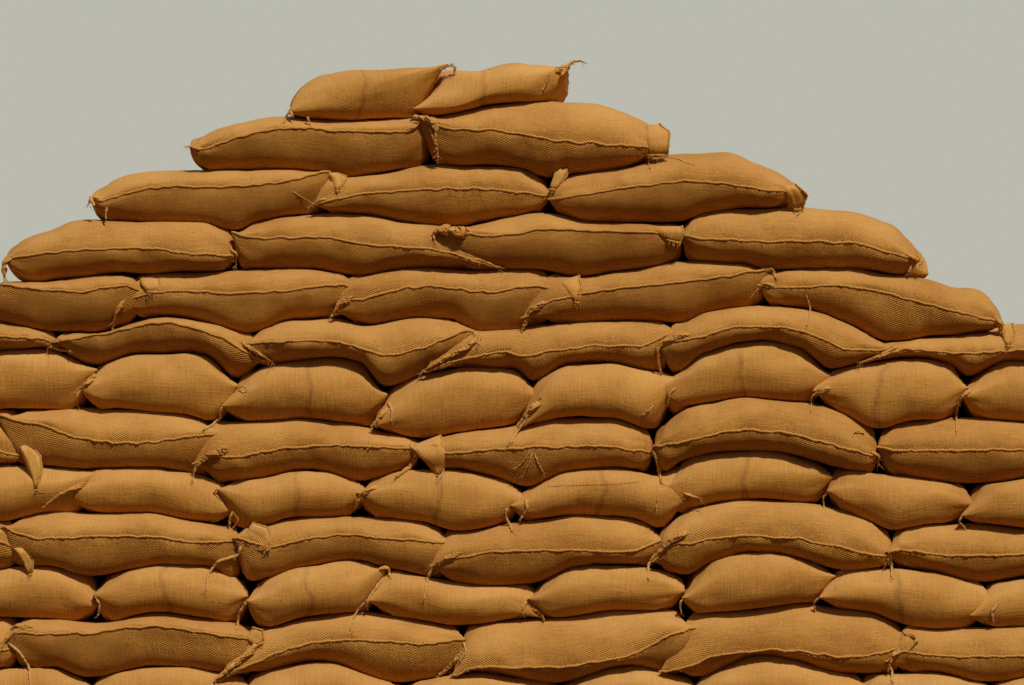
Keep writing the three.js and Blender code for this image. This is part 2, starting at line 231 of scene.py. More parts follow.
# Rolled ears and lips at the corners of the sacks, as pixels of the photograph: the course and
# place of the sack, the width where the roll leaves the sack, and its way from there
ROLLS = [
    (13, 0, 4, [(440, 68), (447, 65), (452, 65)]),
    (13, 1, 6, [(556, 70), (566, 67), (573, 61), (581, 60)]),
    (12, 0, 5, [(202, 149), (194, 148), (188, 146)]),
    (12, 1, 9, [(420, 117), (430, 121), (437, 128), (435, 140), (437, 153)]),
    (10, 2, 13, [(466, 232), (454, 232), (442, 231), (434, 233)]),
    (10, 2, 8, [(448, 227), (439, 228), (434, 234), (434, 239)]),
    (12, 1, 12, [(438, 124), (427, 119), (415, 117)]),
    (12, 0, 5, [(404, 131), (413, 128), (424, 120)]),
    (11, 0, 5, [(100, 199), (92, 197), (88, 203)]),
    (11, 1, 4, [(326, 199), (318, 201), (311, 205)]),
    (10, 0, 7, [(12, 257), (4, 262), (3, 270), (6, 279)]),
    (10, 0, 5, [(229, 250), (236, 254), (235, 264)]),
    (10, 1, 3, [(462, 258), (482, 263), (500, 269)]),
    (10, 3, 5, [(906, 255), (918, 259), (921, 263)]),
    (9, 0, 6, [(124, 300), (116, 312), (112, 329)]),
    (9, 2, 7, [(354, 297), (339, 303), (331, 317)]),
    (9, 3, 8, [(546, 302), (530, 310), (522, 331)]),
    (9, 3, 6, [(762, 268), (774, 270), (776, 278)]),
    (9, 4, 5, [(776, 286), (764, 283), (758, 290)]),
    (9, 4, 9, [(996, 318), (1002, 325), (1000, 334)]),
    (8, 1, 5, [(60, 340), (50, 342), (46, 350)]),
    (8, 1, 6, [(242, 343), (256, 352), (272, 362)]),
    (8, 2, 6, [(474, 333), (480, 337), (478, 344)]),
    (8, 3, 9, [(479, 338), (463, 350), (444, 358), (421, 373)]),
    (8, 4, 6, [(690, 334), (670, 339), (657, 346), (658, 360), (662, 375)]),
    (8, 5, 6, [(899, 346), (884, 355), (862, 362)]),
    (7, 2, 9, [(94, 376), (86, 384), (78, 390)]),
    (7, 4, 9, [(387, 408), (379, 418), (372, 427)]),
    (7, 5, 9, [(541, 400), (529, 412), (518, 425)]),
    (7, 7, 7, [(830, 388), (820, 391), (813, 396)]),
    (7, 8, 6, [(972, 390), (964, 396), (960, 402)]),
    (6, 2, 9, [(226, 450), (208, 455), (196, 466)]),
    (6, 2, 8, [(410, 447), (417, 452), (412, 466), (396, 477)]),
    (6, 3, 6, [(650, 446), (656, 456), (660, 470), (661, 482)]),
    (6, 4, 5, [(872, 453), (880, 456), (879, 463)]),
    (5, 2, 6, [(84, 484), (72, 489), (60, 494)]),
    (5, 4, 8, [(376, 488), (364, 492), (357, 502)]),
    (5, 5, 5, [(684, 494), (692, 496), (699, 498)]),
    (4, 3, 7, [(462, 553), (446, 558), (431, 567)]),
    (4, 4, 9, [(688, 532), (670, 541), (657, 555)]),
    (4, 5, 6, [(900, 549), (890, 552), (888, 560)]),
    (3, 3, 6, [(380, 570), (388, 568), (389, 576)]),
    (3, 4, 6, [(532, 608), (542, 614), (544, 622)]),
    (2, 1, 7, [(32, 628), (14, 626), (5, 640)]),
    (2, 2, 9, [(262, 641), (240, 660), (214, 681)]),
    (2, 3, 8, [(464, 652), (452, 664), (440, 676)]),
    (2, 4, 7, [(906, 634), (918, 638), (912, 647)]),
    (2, 5, 7, [(902, 650), (892, 656), (889, 668)]),
]
# Corners of cloth that hang down or are folded over, by their two edges from the sack outwards
FLAPS = [
    (12, 1, [(647, 124), (646, 134), (647, 144), (648, 155)],
     [(660, 123), (670, 132), (669, 144), (668, 155)]),
    (11, 0, [(326, 172), (331, 182), (335, 191)], [(336, 172), (346, 176), (340, 191)]),
    (11, 2, [(556, 168), (553, 178), (549, 189)], [(570, 168), (566, 177), (556, 190)]),
    (11, 2, [(783, 186), (786, 198), (793, 209)], [(796, 184), (808, 195), (803, 209)]),
    (10, 2, [(652, 226), (656, 234), (664, 239)], [(682, 226), (684, 234), (680, 243)]),
    (9, 0, [(138, 276), (140, 284), (146, 291)], [(158, 276), (160, 284), (156, 292)]),
    (9, 2, [(558, 281), (567, 291), (574, 302)], [(579, 275), (582, 288), (579, 303)]),
    (9, 4, [(1000, 324), (1003, 334), (1006, 346)], [(1014, 323), (1016, 334), (1012, 346)]),
    (6, 0, [(18, 447), (24, 462), (31, 478), (35, 490)],
     [(28, 444), (40, 456), (42, 470), (38, 490)]),
    (6, 3, [(411, 446), (419, 456), (428, 466), (436, 476)],
     [(440, 435), (447, 449), (446, 463), (441, 476)]),
    (4, 0, [(12, 548), (20, 560), (28, 575)], [(26, 548), (33, 562), (31, 575)]),
    (4, 2, [(240, 541), (250, 549), (264, 553)], [(252, 523), (268, 528), (272, 546)]),
    (2, 1, [(245, 640), (250, 646), (258, 645)], [(252, 628), (262, 631), (264, 643)]),
]
# Loose twine, given as the rolls are
TAILS = [
    (13, 0, 3, [(451, 63), (455, 67), (454, 73)]),
    (13, 0, 3, [(291, 110), (286, 115), (284, 122)]),
    (12, 1, 4, [(430, 128), (434, 140), (438, 156)]),
    (12, 1, 3, [(654, 155), (668, 156), (680, 159), (687, 163)]),
    (12, 1, 2, [(651, 153), (649, 161), (650, 168)]),
    (11, 1, 1.2, [(290, 190), (300, 196), (312, 203)]),
    (11, 2, 3, [(800, 204), (802, 210), (799, 214)]),
    (10, 0, 3, [(5, 268), (3, 276), (4, 284)]),
    (9, 4, 2, [(806, 293), (811, 308), (808, 325)]),
    (8, 1, 4, [(46, 344), (58, 350), (70, 351)]),
    (7, 2, 3, [(79, 390), (76, 396), (75, 404)]),
    (7, 3, 4, [(222, 407), (219, 413), (220, 418), (212, 424), (204, 430)]),
    (7, 3, 2, [(238, 388), (244, 386), (248, 391), (242, 393), (239, 389)]),
    (7, 3, 3, [(388, 403), (392, 410), (391, 421)]),
    (7, 4, 3, [(372, 427), (370, 436), (369, 448)]),
    (7, 5, 4, [(519, 424), (515, 434), (510, 443)]),
    (7, 5, 3, [(530, 414), (520, 428), (512, 441)]),
    (7, 5, 2, [(654, 405), (648, 412), (640, 417), (646, 411)]),
    (7, 6, 3, [(676, 388), (671, 392), (668, 402)]),
    (7, 7, 3, [(814, 394), (813, 402), (811, 411)]),
    (7, 8, 3, [(961, 400), (959, 410), (957, 432)]),
    (6, 2, 3, [(196, 464), (193, 472), (192, 482)]),
    (6, 3, 4, [(441, 470), (440, 476), (438, 481)]),
    (6, 3, 2, [(533, 450), (530, 462), (524, 474)]),
    (6, 3, 2, [(534, 452), (538, 464), (543, 472)]),
    (6, 3, 2, [(531, 448), (526, 458), (519, 466)]),
    (6, 4, 2, [(850, 438), (856, 430), (866, 434), (862, 442)]),
    (5, 2, 3, [(61, 494), (52, 500), (42, 508)]),
    (5, 2, 4, [(233, 511), (229, 518), (228, 529)]),
    (5, 2, 2, [(232, 512), (238, 520), (234, 526)]),
    (5, 3, 3, [(217, 489), (213, 493), (218, 498)]),
    (5, 4, 4, [(526, 500), (527, 509), (522, 518)]),
    (5, 5, 4, [(508, 507), (505, 516), (510, 526), (512, 531)]),
    (5, 6, 3, [(662, 488), (658, 496), (656, 506)]),
    (5, 7, 3, [(828, 492), (824, 499), (825, 508)]),
    (5, 8, 3, [(962, 516), (960, 522), (966, 528)]),
    (4, 2, 4, [(241, 545), (238, 556), (218, 561), (208, 574), (206, 590)]),
    (4, 3, 4, [(432, 567), (427, 580), (424, 598)]),
    (4, 4, 4, [(656, 553), (649, 564), (648, 579)]),
    (4, 5, 4, [(890, 556), (893, 566), (892, 577)]),
    (3, 2, 4, [(94, 596), (99, 604), (97, 616)]),
    (3, 3, 4, [(247, 601), (238, 614), (236, 630)]),
    (3, 4, 4, [(388, 570), (382, 580), (370, 596), (366, 606)]),
    (3, 4, 3, [(366, 601), (356, 612), (350, 629)]),
    (3, 5, 3, [(528, 600), (524, 606), (523, 614)]),
    (3, 6, 3, [(683, 598), (680, 606), (682, 614)]),
    (3, 7, 4, [(838, 575), (845, 572), (853, 571)]),
    (3, 7, 3, [(819, 598), (814, 604), (816, 612)]),
    (3, 8, 4, [(998, 604), (992, 612), (994, 622)]),
    (2, 1, 4, [(6, 642), (18, 652), (28, 668), (31, 690)]),
    (2, 2, 3, [(214, 682), (208, 690), (210, 700)]),
    (2, 3, 3, [(464, 644), (466, 652), (460, 660)]),
    (2, 5, 4, [(888, 664), (893, 672), (892, 682)]),
]
# Short ends of the thread that sews the mouths
THREADS = [
    (11, 0, [(322, 170), (326, 174), (328, 171)]),
    (10, 2, [(448, 233), (454, 238), (461, 236)]),
    (10, 1, [(464, 262), (471, 265), (478, 268)]),
    (8, 1, [(44, 337), (47, 342), (44, 346)]),
    (8, 2, [(472, 333), (477, 336), (474, 340)]),
    (6, 0, [(17, 450), (21, 457), (18, 463)]),
    (6, 3, [(649, 442), (654, 446), (651, 452)]),
    (4, 1, [(234, 539), (238, 543), (233, 548)]),
    (4, 4, [(660, 538), (664, 543), (659, 549)]),
    (2, 1, [(246, 637), (251, 641), (247, 645)]),
]
# Rows of stitches that show on the cloth
STITCHES = [
    (5, 5, [(548, 487), (560, 486), (590, 485), (620, 484), (642, 482)]),
    (8, 3, [(489, 352), (500, 349), (512, 348)]),
]


def photo(column, row):
    """X and Z of a pixel of the photograph on the front of the stack."""
    return (column - PIXEL_AXIS) * PIXEL, (PIXEL_FLOOR - row) * PIXEL


def smooth_line(points, at):
    """Height at each place of a smooth line through the points, level beyond its ends."""
    places, heights = np.array(points, float).T
    step, rise = np.diff(places), np.diff(heights)
    grade = rise / step
    slope = np.zeros(len(places))
    product = grade[:-1] * grade[1:]
    total = np.where(product > 0, grade[:-1] + grade[1:], 1)
    slope[1:-1] = np.where(product > 0, 2 * product / total, 0)
    i = np.clip(np.searchsorted(places, at) - 1, 0, len(step) - 1)
    u = np.clip((at - places[i]) / step[i], 0, 1)
    bend = slope[i] * (u - 1) ** 2 * u + slope[i + 1] * (u - 1) * u ** 2
    return heights[i] + rise[i] * u * u * (3 - 2 * u) + step[i] * bend


def fade(distance, reach):
    """1 at no distance, and smoothly 0 from reach on."""
    return (1 - np.clip(distance / reach, 0, 1)) ** 2


def swell(distance, reach, power):
    """How far a sack has swelled, from 0 at its rim to 1 from reach on."""
    return (1 - (1 - np.clip(distance / reach, 0, 1)) ** 2) ** power


def waves(seed, size, count=8):
    """A smooth random function of two lengths, about -1 to 1, with waves of about that size."""
    rng = np.random.default_rng(seed)
    turn = rng.uniform(0, 2 * math.pi, count)
    length = size * rng.uniform(0.7, 1.8, count)
    start = rng.uniform(0, 2 * math.pi, count)
    kx, ky = 2 * math.pi * np.cos(turn) / length, 2 * math.pi * np.sin(turn) / length
    share = 1.4 / math.sqrt(count)

    def height(x, y):
        return share * sum(np.sin(kx[n] * x + ky[n] * y + start[n]) for n in range(count))
    return height


# How uneven the faces between courses are behind the front, over what depth this sets in, and
# from which face up they lie lower there, by that share of the unevenness
LIE_WAVES = [waves(40 + n, 0.5) for n in range(len(LIES))]
LIE_WAVE = 9 * MM
LIE_REACH = 0.4
SUNK_FROM = 9
SUNK = 0.9


def lie(number, x, y):
    """Height of the face between two courses, as photographed at the front and uneven behind."""
    height = smooth_line(LIES[number], x / MM) * MM
    if number == 0:
        return height
    behind = np.clip((y - FRONT) / LIE_REACH, 0, 1)
    lower = SUNK if number >= SUNK_FROM else 0
    return height + LIE_WAVE * behind * (LIE_WAVES[number](x, y) - lower)


def quads(grid, flip=False):
    """A grid's point numbers, or its values, at the four corners of each of its faces."""
    a, b, c, d = grid[:-1, :-1], grid[1:, :-1], grid[1:, 1:], grid[:-1, 1:]
    order = (a, d, c, b) if flip else (a, b, c, d)
    return np.stack(order, axis=2).reshape(-1, 4, *grid.shape[2:])


def unit(vectors):
    return vectors / np.maximum(np.linalg.norm(vectors, axis=-1, keepdims=True), 1e-9)


def run_lengths(points, axis=0):
    """Length along a line, or along each line of a grid, up to each point."""
    step = np.linalg.norm(np.diff(points, axis=axis), axis=-1)
    start = np.zeros_like(np.take(step, [0], axis=axis))
    return np.cumsum(np.concatenate([start, step], axis=axis), axis=axis)


def resample(path, pitch):
    """The path with its points about that far apart."""
    along = run_lengths(path)
    at = np.linspace(0, along[-1], max(2, int(round(along[-1] / pitch)) + 1))
    return np.stack([np.interp(at, along, path[:, k]) for k in range(3)], axis=1)


def directions(path):
    """Two directions square to the path at each of its points, that turn as little as they can."""
    ahead = unit(np.gradient(path, axis=0))
    side = np.empty_like(path)
    last = np.array([0.31, 0.93, 0.2])
    for n in range(len(path)):
        last = unit(last - ahead[n] * (last @ ahead[n]))
        side[n] = last
    return side, np.cross(ahead, side)


# What a mesh carries for its materials: the cloth's lengths in metres, which are its UV map, and
# the tint, which is its tone, its share of the faded band and the strength of its twill
CLOTH = "cloth"
TINT = "tint"
# The places of the materials in MATERIALS
JUTE, CORD, TWINE, THREAD, STITCH = range(5)


class Piece:
    """One object in the making: points and faces, with their material, tint and cloth lengths."""

    def __init__(self, seed):
        self.rng = np.random.default_rng(seed)
        self.points, self.tints, self.faces, self.corners, self.slots = [], [], [], [], []
        self.count = 0
        self.shift = self.rng.integers(-9, 10, 2)

    def add(self, points, faces, lengths, slot, tint):
        """faces number the points given here, and lengths has two cloth lengths for each corner."""
        self.points.append(points)
        self.tints.append(np.broadcast_to(tint, points.shape))
        self.faces += [[self.count + n for n in face] for face in faces]
        self.corners.append(np.reshape(lengths, (-1, 2)) + self.shift)
        self.slots += [slot] * len(faces)
        self.count += len(points)

    def add_tube(self, path, radius, sides, slot, tint, twist=0, ridge=0, crumple=0):
        """A closed strand along the path, round or with three ridges that wind round it."""
        side, up = directions(path)
        turn = np.linspace(0, 2 * math.pi, sides + 1)
        ring = np.cos(turn)[:, None] * side[:, None] + np.sin(turn)[:, None] * up[:, None]
        wind = 3 * turn[None, :] + np.linspace(0, twist, len(path))[:, None]
        rough = self.rng.uniform(-crumple, crumple, wind.shape) if crumple else 0
        girth = radius[:, None] * (1 + ridge * np.sin(wind) + rough)
        wall = (path[:, None] + girth[..., None] * ring)[:, :-1]
        number = np.arange(wall.shape[0] * sides).reshape(-1, sides)
        faces = quads(np.concatenate([number, number[:, :1]], axis=1)).tolist()
        lengths = np.stack(np.broadcast_arrays(run_lengths(path)[:, None],
                                               turn[None, :] * radius.max()), axis=-1)
        ends = [number[0, ::-1].tolist(), number[-1].tolist()]
        corners = np.concatenate([
            quads(lengths).reshape(-1, 2), lengths[0, :-1][::-1], lengths[-1, :-1]])
        self.add(wall.reshape(-1, 3), faces + ends, corners, slot, tint)

    def make(self, name):
        mesh = bpy.data.meshes.new(name)
        points = np.concatenate(self.points)
        points[:, 2] = np.maximum(points[:, 2], 0)
        mesh.from_pydata(points.tolist(), [], self.faces)
        cloth = mesh.uv_layers.new(name=CLOTH)
        cloth.data.foreach_set("uv", np.concatenate(self.corners).astype(np.float32).ravel())
        tint = mesh.attributes.new(TINT, "FLOAT_VECTOR", "POINT")
        tint.data.foreach_set("vector", np.concatenate(self.tints).astype(np.float32).ravel())
        for material in MATERIALS:
            mesh.materials.append(material)
        mesh.polygons.foreach_set("material_index", self.slots)
        mesh.polygons.foreach_set("use_smooth", [True] * len(self.faces))
        mesh.update()
        piece = bpy.data.objects.new(name, mesh)
        bpy.context.scene.collection.objects.link(piece)
        return piece


# Distances in from a rim at which a sack is cut: where the rim shows, where two sacks meet in a
# face that shows, and where it is hidden
CUTS = {
    "open": [0, 1.5, 4, 8, 14, 21, 30, 41, 54, 70, 90, 114],
    "joint": [0, 5, 12, 20, 30, 42, 56, 74, 96],
    "hidden": [0, 6, 25, 60],
}

# How far apart the cuts are between the rims: across the sacks of the front, of the back and of
# the inside, and from the front to the back of sacks whose top may show and of the others
PITCHES = {"front": 0.017, "back": 0.03, "inner": 0.12, "bare": 0.028, "deep": 0.075}

# How a sack swells in from a rim: the reach and the power of its crown, then of its belly
SWELLS = {
    "seam": (0.115, 0.72, 0.100, 0.76),
    "dome seam": (0.115, 0.72, 0.110, 0.66),
    "fold": (0.108, 0.50, 0.098, 0.49),
    "pressed": (0.040, 0.50, 0.040, 0.50),
    "lengthways tip": (0.054, 0.48, 0.050, 0.46),
    "left tip": (0.140, 0.90, 0.105, 0.74),
    "right tip": (0.078, 0.50, 0.140, 0.80),
    "top left": (0.190, 0.60, 0.050, 0.50),
    "upper tip": (0.110, 0.50, 0.170, 1.20),
    "lower tip": (0.260, 1.00, 0.060, 0.50),
    "dome left": (0.260, 0.74, 0.080, 0.55),
    "dome right": (0.260, 0.98, 0.080, 0.55),
    "bare": (0.160, 0.55, 0.070, 0.50),
}
# How far from a tip a sack's side or face starts to run out to it, for sacks laid end-on and
# lengthways, and for a side that shows below the dome
SIDE_REACHES = (0.26, 0.14)
FACE_REACHES = (0.20, 0.15)
OPEN_REACH = 0.17
# How much the tips differ in their height, as a share of the course, and in how far they lap over;
# how far in the corners of the block lie; and how much lower tips lie at the back of the dome
TIP_SPREAD = 0.06
LAP_SPREAD = 0.008
CORNER_IN = 0.02
DOME_DROP = 0.2
LOWEST_TIP = 0.05
# How much the rim differs in its height, as a share of the course, how much higher it lies on
# sacks laid end-on, and how far a traced seam wanders
RIM_SPREAD = 0.08
RIM_RISE = 0.03
SEAM_WAVE = 1.8 * MM
# How far in from the edge of the next course a sack is wholly covered by it
COVER_REACH = 0.12
# How far behind a face that shows a side of a sack swells as it does where it shows, and how far
# the cloth stands out over a seam
TIP_REACH = 0.30
SEAM_BULGE = 0.008
# How far the tips of sacks laid end-on and lengthways lap over the next sack, how high up the
# course those of sacks laid end-on lie, and how far in from the face the tips of every sack lie
LAPS = (0.030, 0.011)
TIP_SHARES = {"left": 0.34, "right": 0.62}
TIPS_IN = {"left": 0.022, "right": 0.048}
# Where sacks lie under it or on it, a sack's swell is scaled up by this and then cut off at 1
PRESS = 1.10


def stops(length, start, end, pitch):
    """Where a sack is cut along one of its sides, as shares of its length."""
    near = np.array(CUTS[start]) * MM
    far = length - np.array(CUTS[end])[::-1] * MM
    count = max(2, math.ceil((far[0] - near[-1]) / pitch) + 1)
    middle = np.linspace(near[-1], far[0], count)[1:-1]
    return np.concatenate([near, middle, far]) / length


# From this course up the sacks step in to the dome, and from the next but one their ends are slack
DOME_FROM = 8
SLACK_FROM = 10
# How far, in millimetres, the joints between sacks lie from those of the front row: at most so far
# in the back row, and just so far in a middle row and in the back of a dome that is two deep. Then
# how far in the ends lie behind the dome's front, and the one end that peeps out by so much
JOINT_SPREAD = 22
MIDDLE_SHIFT = 80
DOME_IN = 48
PEEPING = {(10, 1): 75}
# How far, in millimetres, the faces of the sacks lie out of line at most, and how far out a pushed
# sack may reach
OUT_SPREAD = 14
OUT_MOST = 22
# The middle of the tone of the top sacks, of those laid end-on and of those laid lengthways
TONES = (1.1, 0.5, -0.9)


class Sack:
    """One sack: where it lies, how its four sides show, and the shape that follows."""

    def __init__(self, course, row, place):
        self.node, self.deep, self.share, joints = COURSES[course - 1]
        self.course, self.row, self.place = course, row, place
        self.endon = self.node.endswith("headers")
        last = len(joints) - 2
        self.key = (course, place)
        self.rng = np.random.default_rng(course * 1000 + row * 100 + place)
        self.depth = SACK_LENGTH if self.endon else SACK_WIDTH
        self.front = FRONT + row * self.depth
        self.back = self.front + self.depth
        self.open = {
            "left": place == 0, "right": place == last,
            "front": row == 0, "back": row == self.deep - 1,
        }
        self.inner = not any(self.open.values())
        shift = np.random.default_rng(course * 50 + row).uniform(
            -JOINT_SPREAD, JOINT_SPREAD, len(joints))
        if row and (not self.open["back"] or self.deep == 2 and not self.endon):
            shift = np.sign(shift) * MIDDLE_SHIFT
        shift[[0, -1]] = 0.3 * shift[[0, -1]] if row and self.open["back"] else 0
        if course > DOME_FROM:
            shift[[0, -1]] = DOME_IN, -DOME_IN
        shift[-1] = PEEPING.get((course, row), shift[-1])
        shift = shift if row else 0 * shift
        self.left, self.right = (np.array(joints) + shift)[place:place + 2] * MM
        self.dome = course >= DOME_FROM
        self.top = course == len(COURSES)
        self.lean = LEANS.get(self.key) or (self.share, self.share)
        self.out = self.rng.uniform(-OUT_SPREAD, OUT_SPREAD) * MM
        if row == 0:
            self.out = max(self.out - PUSHED.get(self.key, 0) * MM, -OUT_MOST * MM)
        self.tone = self.rng.uniform(-1, 1) + TONES[0 if self.top else 1 if self.endon else 2]
        self.grow = {side: self.rng.uniform(0.85, 1.15) for side in self.open}

    def laid(self, pair):
        """The value for a sack laid end-on or for one laid lengthways."""
        return pair[0 if self.endon else 1]

    def name(self):
        side = ("front", "back", "middle")[0 if self.row == 0 else 1 if self.open["back"] else 2]
        return f"sack_{self.course:02d}_{side}_{self.place + 1}"

    def swell_of(self, side):
        """The swell of a side where it shows, and where it lies between other sacks."""
        if side in ("front", "back"):
            if not self.open[side]:
                return "pressed", "pressed"
            kind = "fold" if self.endon else "dome seam" if self.dome else "seam"
            return kind, kind
        if self.open[side] and self.course >= SLACK_FROM and not self.endon:
            return "dome " + side, "dome " + side
        if self.open[side] and self.top:
            return ("top left" if side == "left" else "seam"), "seam"
        if self.open[side]:
            kind = "seam" if self.endon else "fold"
            return kind, kind
        if self.top:
            return ("upper tip" if side == "right" else "lower tip"), "pressed"
        return (side + " tip" if self.endon else "lengthways tip"), "pressed"

    def skins(self, x, y):
        """Heights of the faces below and above the course."""
        return lie(self.course - 1, x, y), lie(self.course, x, y)

    def tip(self, side, face):
        """The place of a corner tip: a side, and the front or back face."""
        joint = self.left if side == "left" else self.right
        outward = -1 if side == "left" else 1
        y = self.front if face == "front" else self.back
        inward = 1 if face == "front" else -1
        low, high = self.skins(np.array([joint]), np.array([y]))
        share = self.lean[outward > 0] + self.rng.uniform(-TIP_SPREAD, TIP_SPREAD)
        if not self.open[side]:
            reach = self.laid(LAPS)
            joint += outward * (reach + self.rng.uniform(-LAP_SPREAD, LAP_SPREAD))
            if self.endon and not self.top:
                share = TIP_SHARES[side]
        elif not self.dome:
            joint -= outward * CORNER_IN
        elif self.row:
            share = max(share - DOME_DROP, LOWEST_TIP)
        height = low[0] + share * (high[0] - low[0])
        if self.open[face]:
            y += inward * TIPS_IN[side]
        if face == "front" and self.row == 0:
            drawn = TIPS.get(self.key) or SEAMS.get(self.key)
            if drawn:
                joint, height = photo(*drawn[0 if side == "left" else -1])
        return np.array([joint, y, height])

    def cuts(self):
        """Where the sack is cut along X and along Y, as shares of its length and depth."""
        shown = {side: "open" if is_open else "hidden" for side, is_open in self.open.items()}
        for side in ("left", "right"):
            if not self.open[side] and (self.open["front"] or self.open["back"]):
                shown[side] = "joint"
        across = PITCHES["inner" if self.inner else "back" if self.row else "front"]
        depth = PITCHES["bare" if self.bare() else "deep"]
        return (stops(self.right - self.left, shown["left"], shown["right"], across)[:, None],
                stops(self.depth, shown["front"], shown["back"], depth)[None, :])

    def bare(self):
        """Whether much of the sack's top may show."""
        return self.course > DOME_FROM and (self.row > 0 or self.top)

    def rim_line(self, first, last, x, y):
        """Heights of the rim from one tip to the next, halfway between the skins or as traced."""
        drawn = SEAMS.get(self.key)
        if drawn and self.row == 0 and first[1] < self.front + 0.1 > last[1]:
            line = [(column, (PIXEL_FLOOR - row) * PIXEL) for column, row in drawn]
            uneven = waves(self.course * 10 + self.place, 0.05)(x, 0 * x)
            inside = np.clip(np.minimum(x - x[0], x[-1] - x) / 0.05, 0, 1)
            return smooth_line(line, x / PIXEL + PIXEL_AXIS) + SEAM_WAVE * uneven * inside
        along = run_lengths(np.stack([x, y], axis=-1))
        at = np.array([0.25, 0.5, 0.75]) * along[-1]
        at_x, at_y = np.interp(at, along, x), np.interp(at, along, y)
        share = np.interp(at_x, [self.left, self.right], self.lean)
        share = share + self.rng.uniform(-RIM_SPREAD, RIM_SPREAD, 3) * (not self.top)
        if self.endon and not self.top:
            share = share + RIM_RISE
        low, high = self.skins(at_x, at_y)
        middle = low + share * (high - low)
        line = [(0, first[2]), *zip(at, middle), (along[-1], last[2])]
        return smooth_line(line, along)

    def outline(self):
        """The grid's X and Y, the heights of its rim inward, and the distance in from each side."""
        s, t = self.cuts()
        tips = {(side, face): self.tip(side, face)
                for side in ("left", "right") for face in ("front", "back")}
        length = self.right - self.left

        def bowed(middle, first, second, share, size, reach):
            """A side that keeps to its middle line, and near its ends runs out to its tips."""
            return (middle + (first - middle) * fade(share * size, reach)
                    + (second - middle) * fade((1 - share) * size, reach))

        def side_x(side):
            middle = self.left if side == "left" else self.right
            reach = OPEN_REACH if self.open[side] and not self.dome else self.laid(SIDE_REACHES)
            first, second = (tips[side, face][0] for face in ("front", "back"))
            return bowed(middle, first, second, t, self.depth, reach)

        def face_y(face):
            middle = self.front + self.out if face == "front" else self.back - self.out
            first, second = (tips[side, face][1] for side in ("left", "right"))
            return bowed(middle, first, second, s, length, self.laid(FACE_REACHES))

        left_x, right_x, front_y, back_y = (
            side_x("left"), side_x("right"), face_y("front"), face_y("back"))
        x = (1 - s) * left_x + s * right_x
        y = (1 - t) * front_y + t * back_y
        front_z, back_z = (
            self.rim_line(tips["left", face], tips["right", face], x[:, n], y[:, n])[:, None]
            for face, n in (("front", 0), ("back", -1)))
        left_z, right_z = (
            self.rim_line(tips[side, "front"], tips[side, "back"], x[n], y[n])[None, :]
            for side, n in (("left", 0), ("right", -1)))
        corners = ((1 - s) * (1 - t) * front_z[0] + s * (1 - t) * front_z[-1]
                   + (1 - s) * t * back_z[0] + s * t * back_z[-1])
        rim = (1 - t) * front_z + t * back_z + (1 - s) * left_z + s * right_z - corners
        inset = {"left": x - left_x, "right": right_x - x, "front": y - front_y, "back": back_y - y}
        return x, y, rim, {side: np.maximum(d, 0) for side, d in inset.items()}

    def shape(self):
        """Works out the grid of points of the crown and of the belly, which share their rim."""
        x, y, rim, inset = self.outline()
        near_face = np.maximum(fade(inset["front"], TIP_REACH) * self.open["front"],
                               fade(inset["back"], TIP_REACH) * self.open["back"])
        low, high = self.skins(x, y)
        sheets = []
        for part, skin in ((0, high), (2, low)):
            grown = {}
            for side in inset:
                shown, deep = (SWELLS[kind][part:part + 2] for kind in self.swell_of(side))
                if self.bare() and part == 0 and side in ("front", "back") and not self.endon:
                    shown = deep = SWELLS["bare"][:2]
                reach, power = (d + (n - d) * near_face for n, d in zip(shown, deep))
                grown[side] = swell(inset[side], reach * self.grow[side], power)
            whole = grown["left"] * grown["right"] * grown["front"] * grown["back"]
            pressed = self.covered(x, y) if part == 0 else 1
            whole = np.minimum(whole * (1 + (PRESS - 1) * pressed), 1)
            z = rim + (skin - rim) * whole
            out = {side: SEAM_BULGE * np.sin(math.pi * grown[side]) * self.open[side]
                   for side in (("left", "right") if self.endon else ("front", "back"))}
            sheets.append(np.stack([x + out.get("right", 0) - out.get("left", 0),
                                    y + out.get("back", 0) - out.get("front", 0), z], axis=-1))
        return *sheets, inset

    def covered(self, x, y):
        """1 where the next course lies on this one, smoothly down to 0 beside it."""
        if self.top:
            return 0 * x
        above, deep, _, joints = COURSES[self.course]
        depth = deep * (SACK_LENGTH if above.endswith("headers") else SACK_WIDTH)
        inside = np.minimum(x - joints[0] * MM, joints[-1] * MM - x)
        if depth < DEPTH - 10 * MM:
            inside = np.minimum(inside, FRONT + depth - y)
        return np.clip(inside / COVER_REACH, 0, 1)


# How high the lumps of the cloth are, the gathers that run out from its ears, the loose folds of a
# bare top and the puckers along a seam, and how many millimetres deep its creases are
LUMP = 2.0 * MM
GATHER = 3.6 * MM
LOOSE = 3.5 * MM
PUCKER = 2.0 * MM
CREASE = (1.5, 4)
# How strongly the band shows on a sack that has one, and the twill on sacks laid end-on and
# lengthways
BAND = 0.45
TWILLS = (0.18, 1)


def normals(sheet):
    return unit(np.cross(np.gradient(sheet, axis=0), np.gradient(sheet, axis=1)))


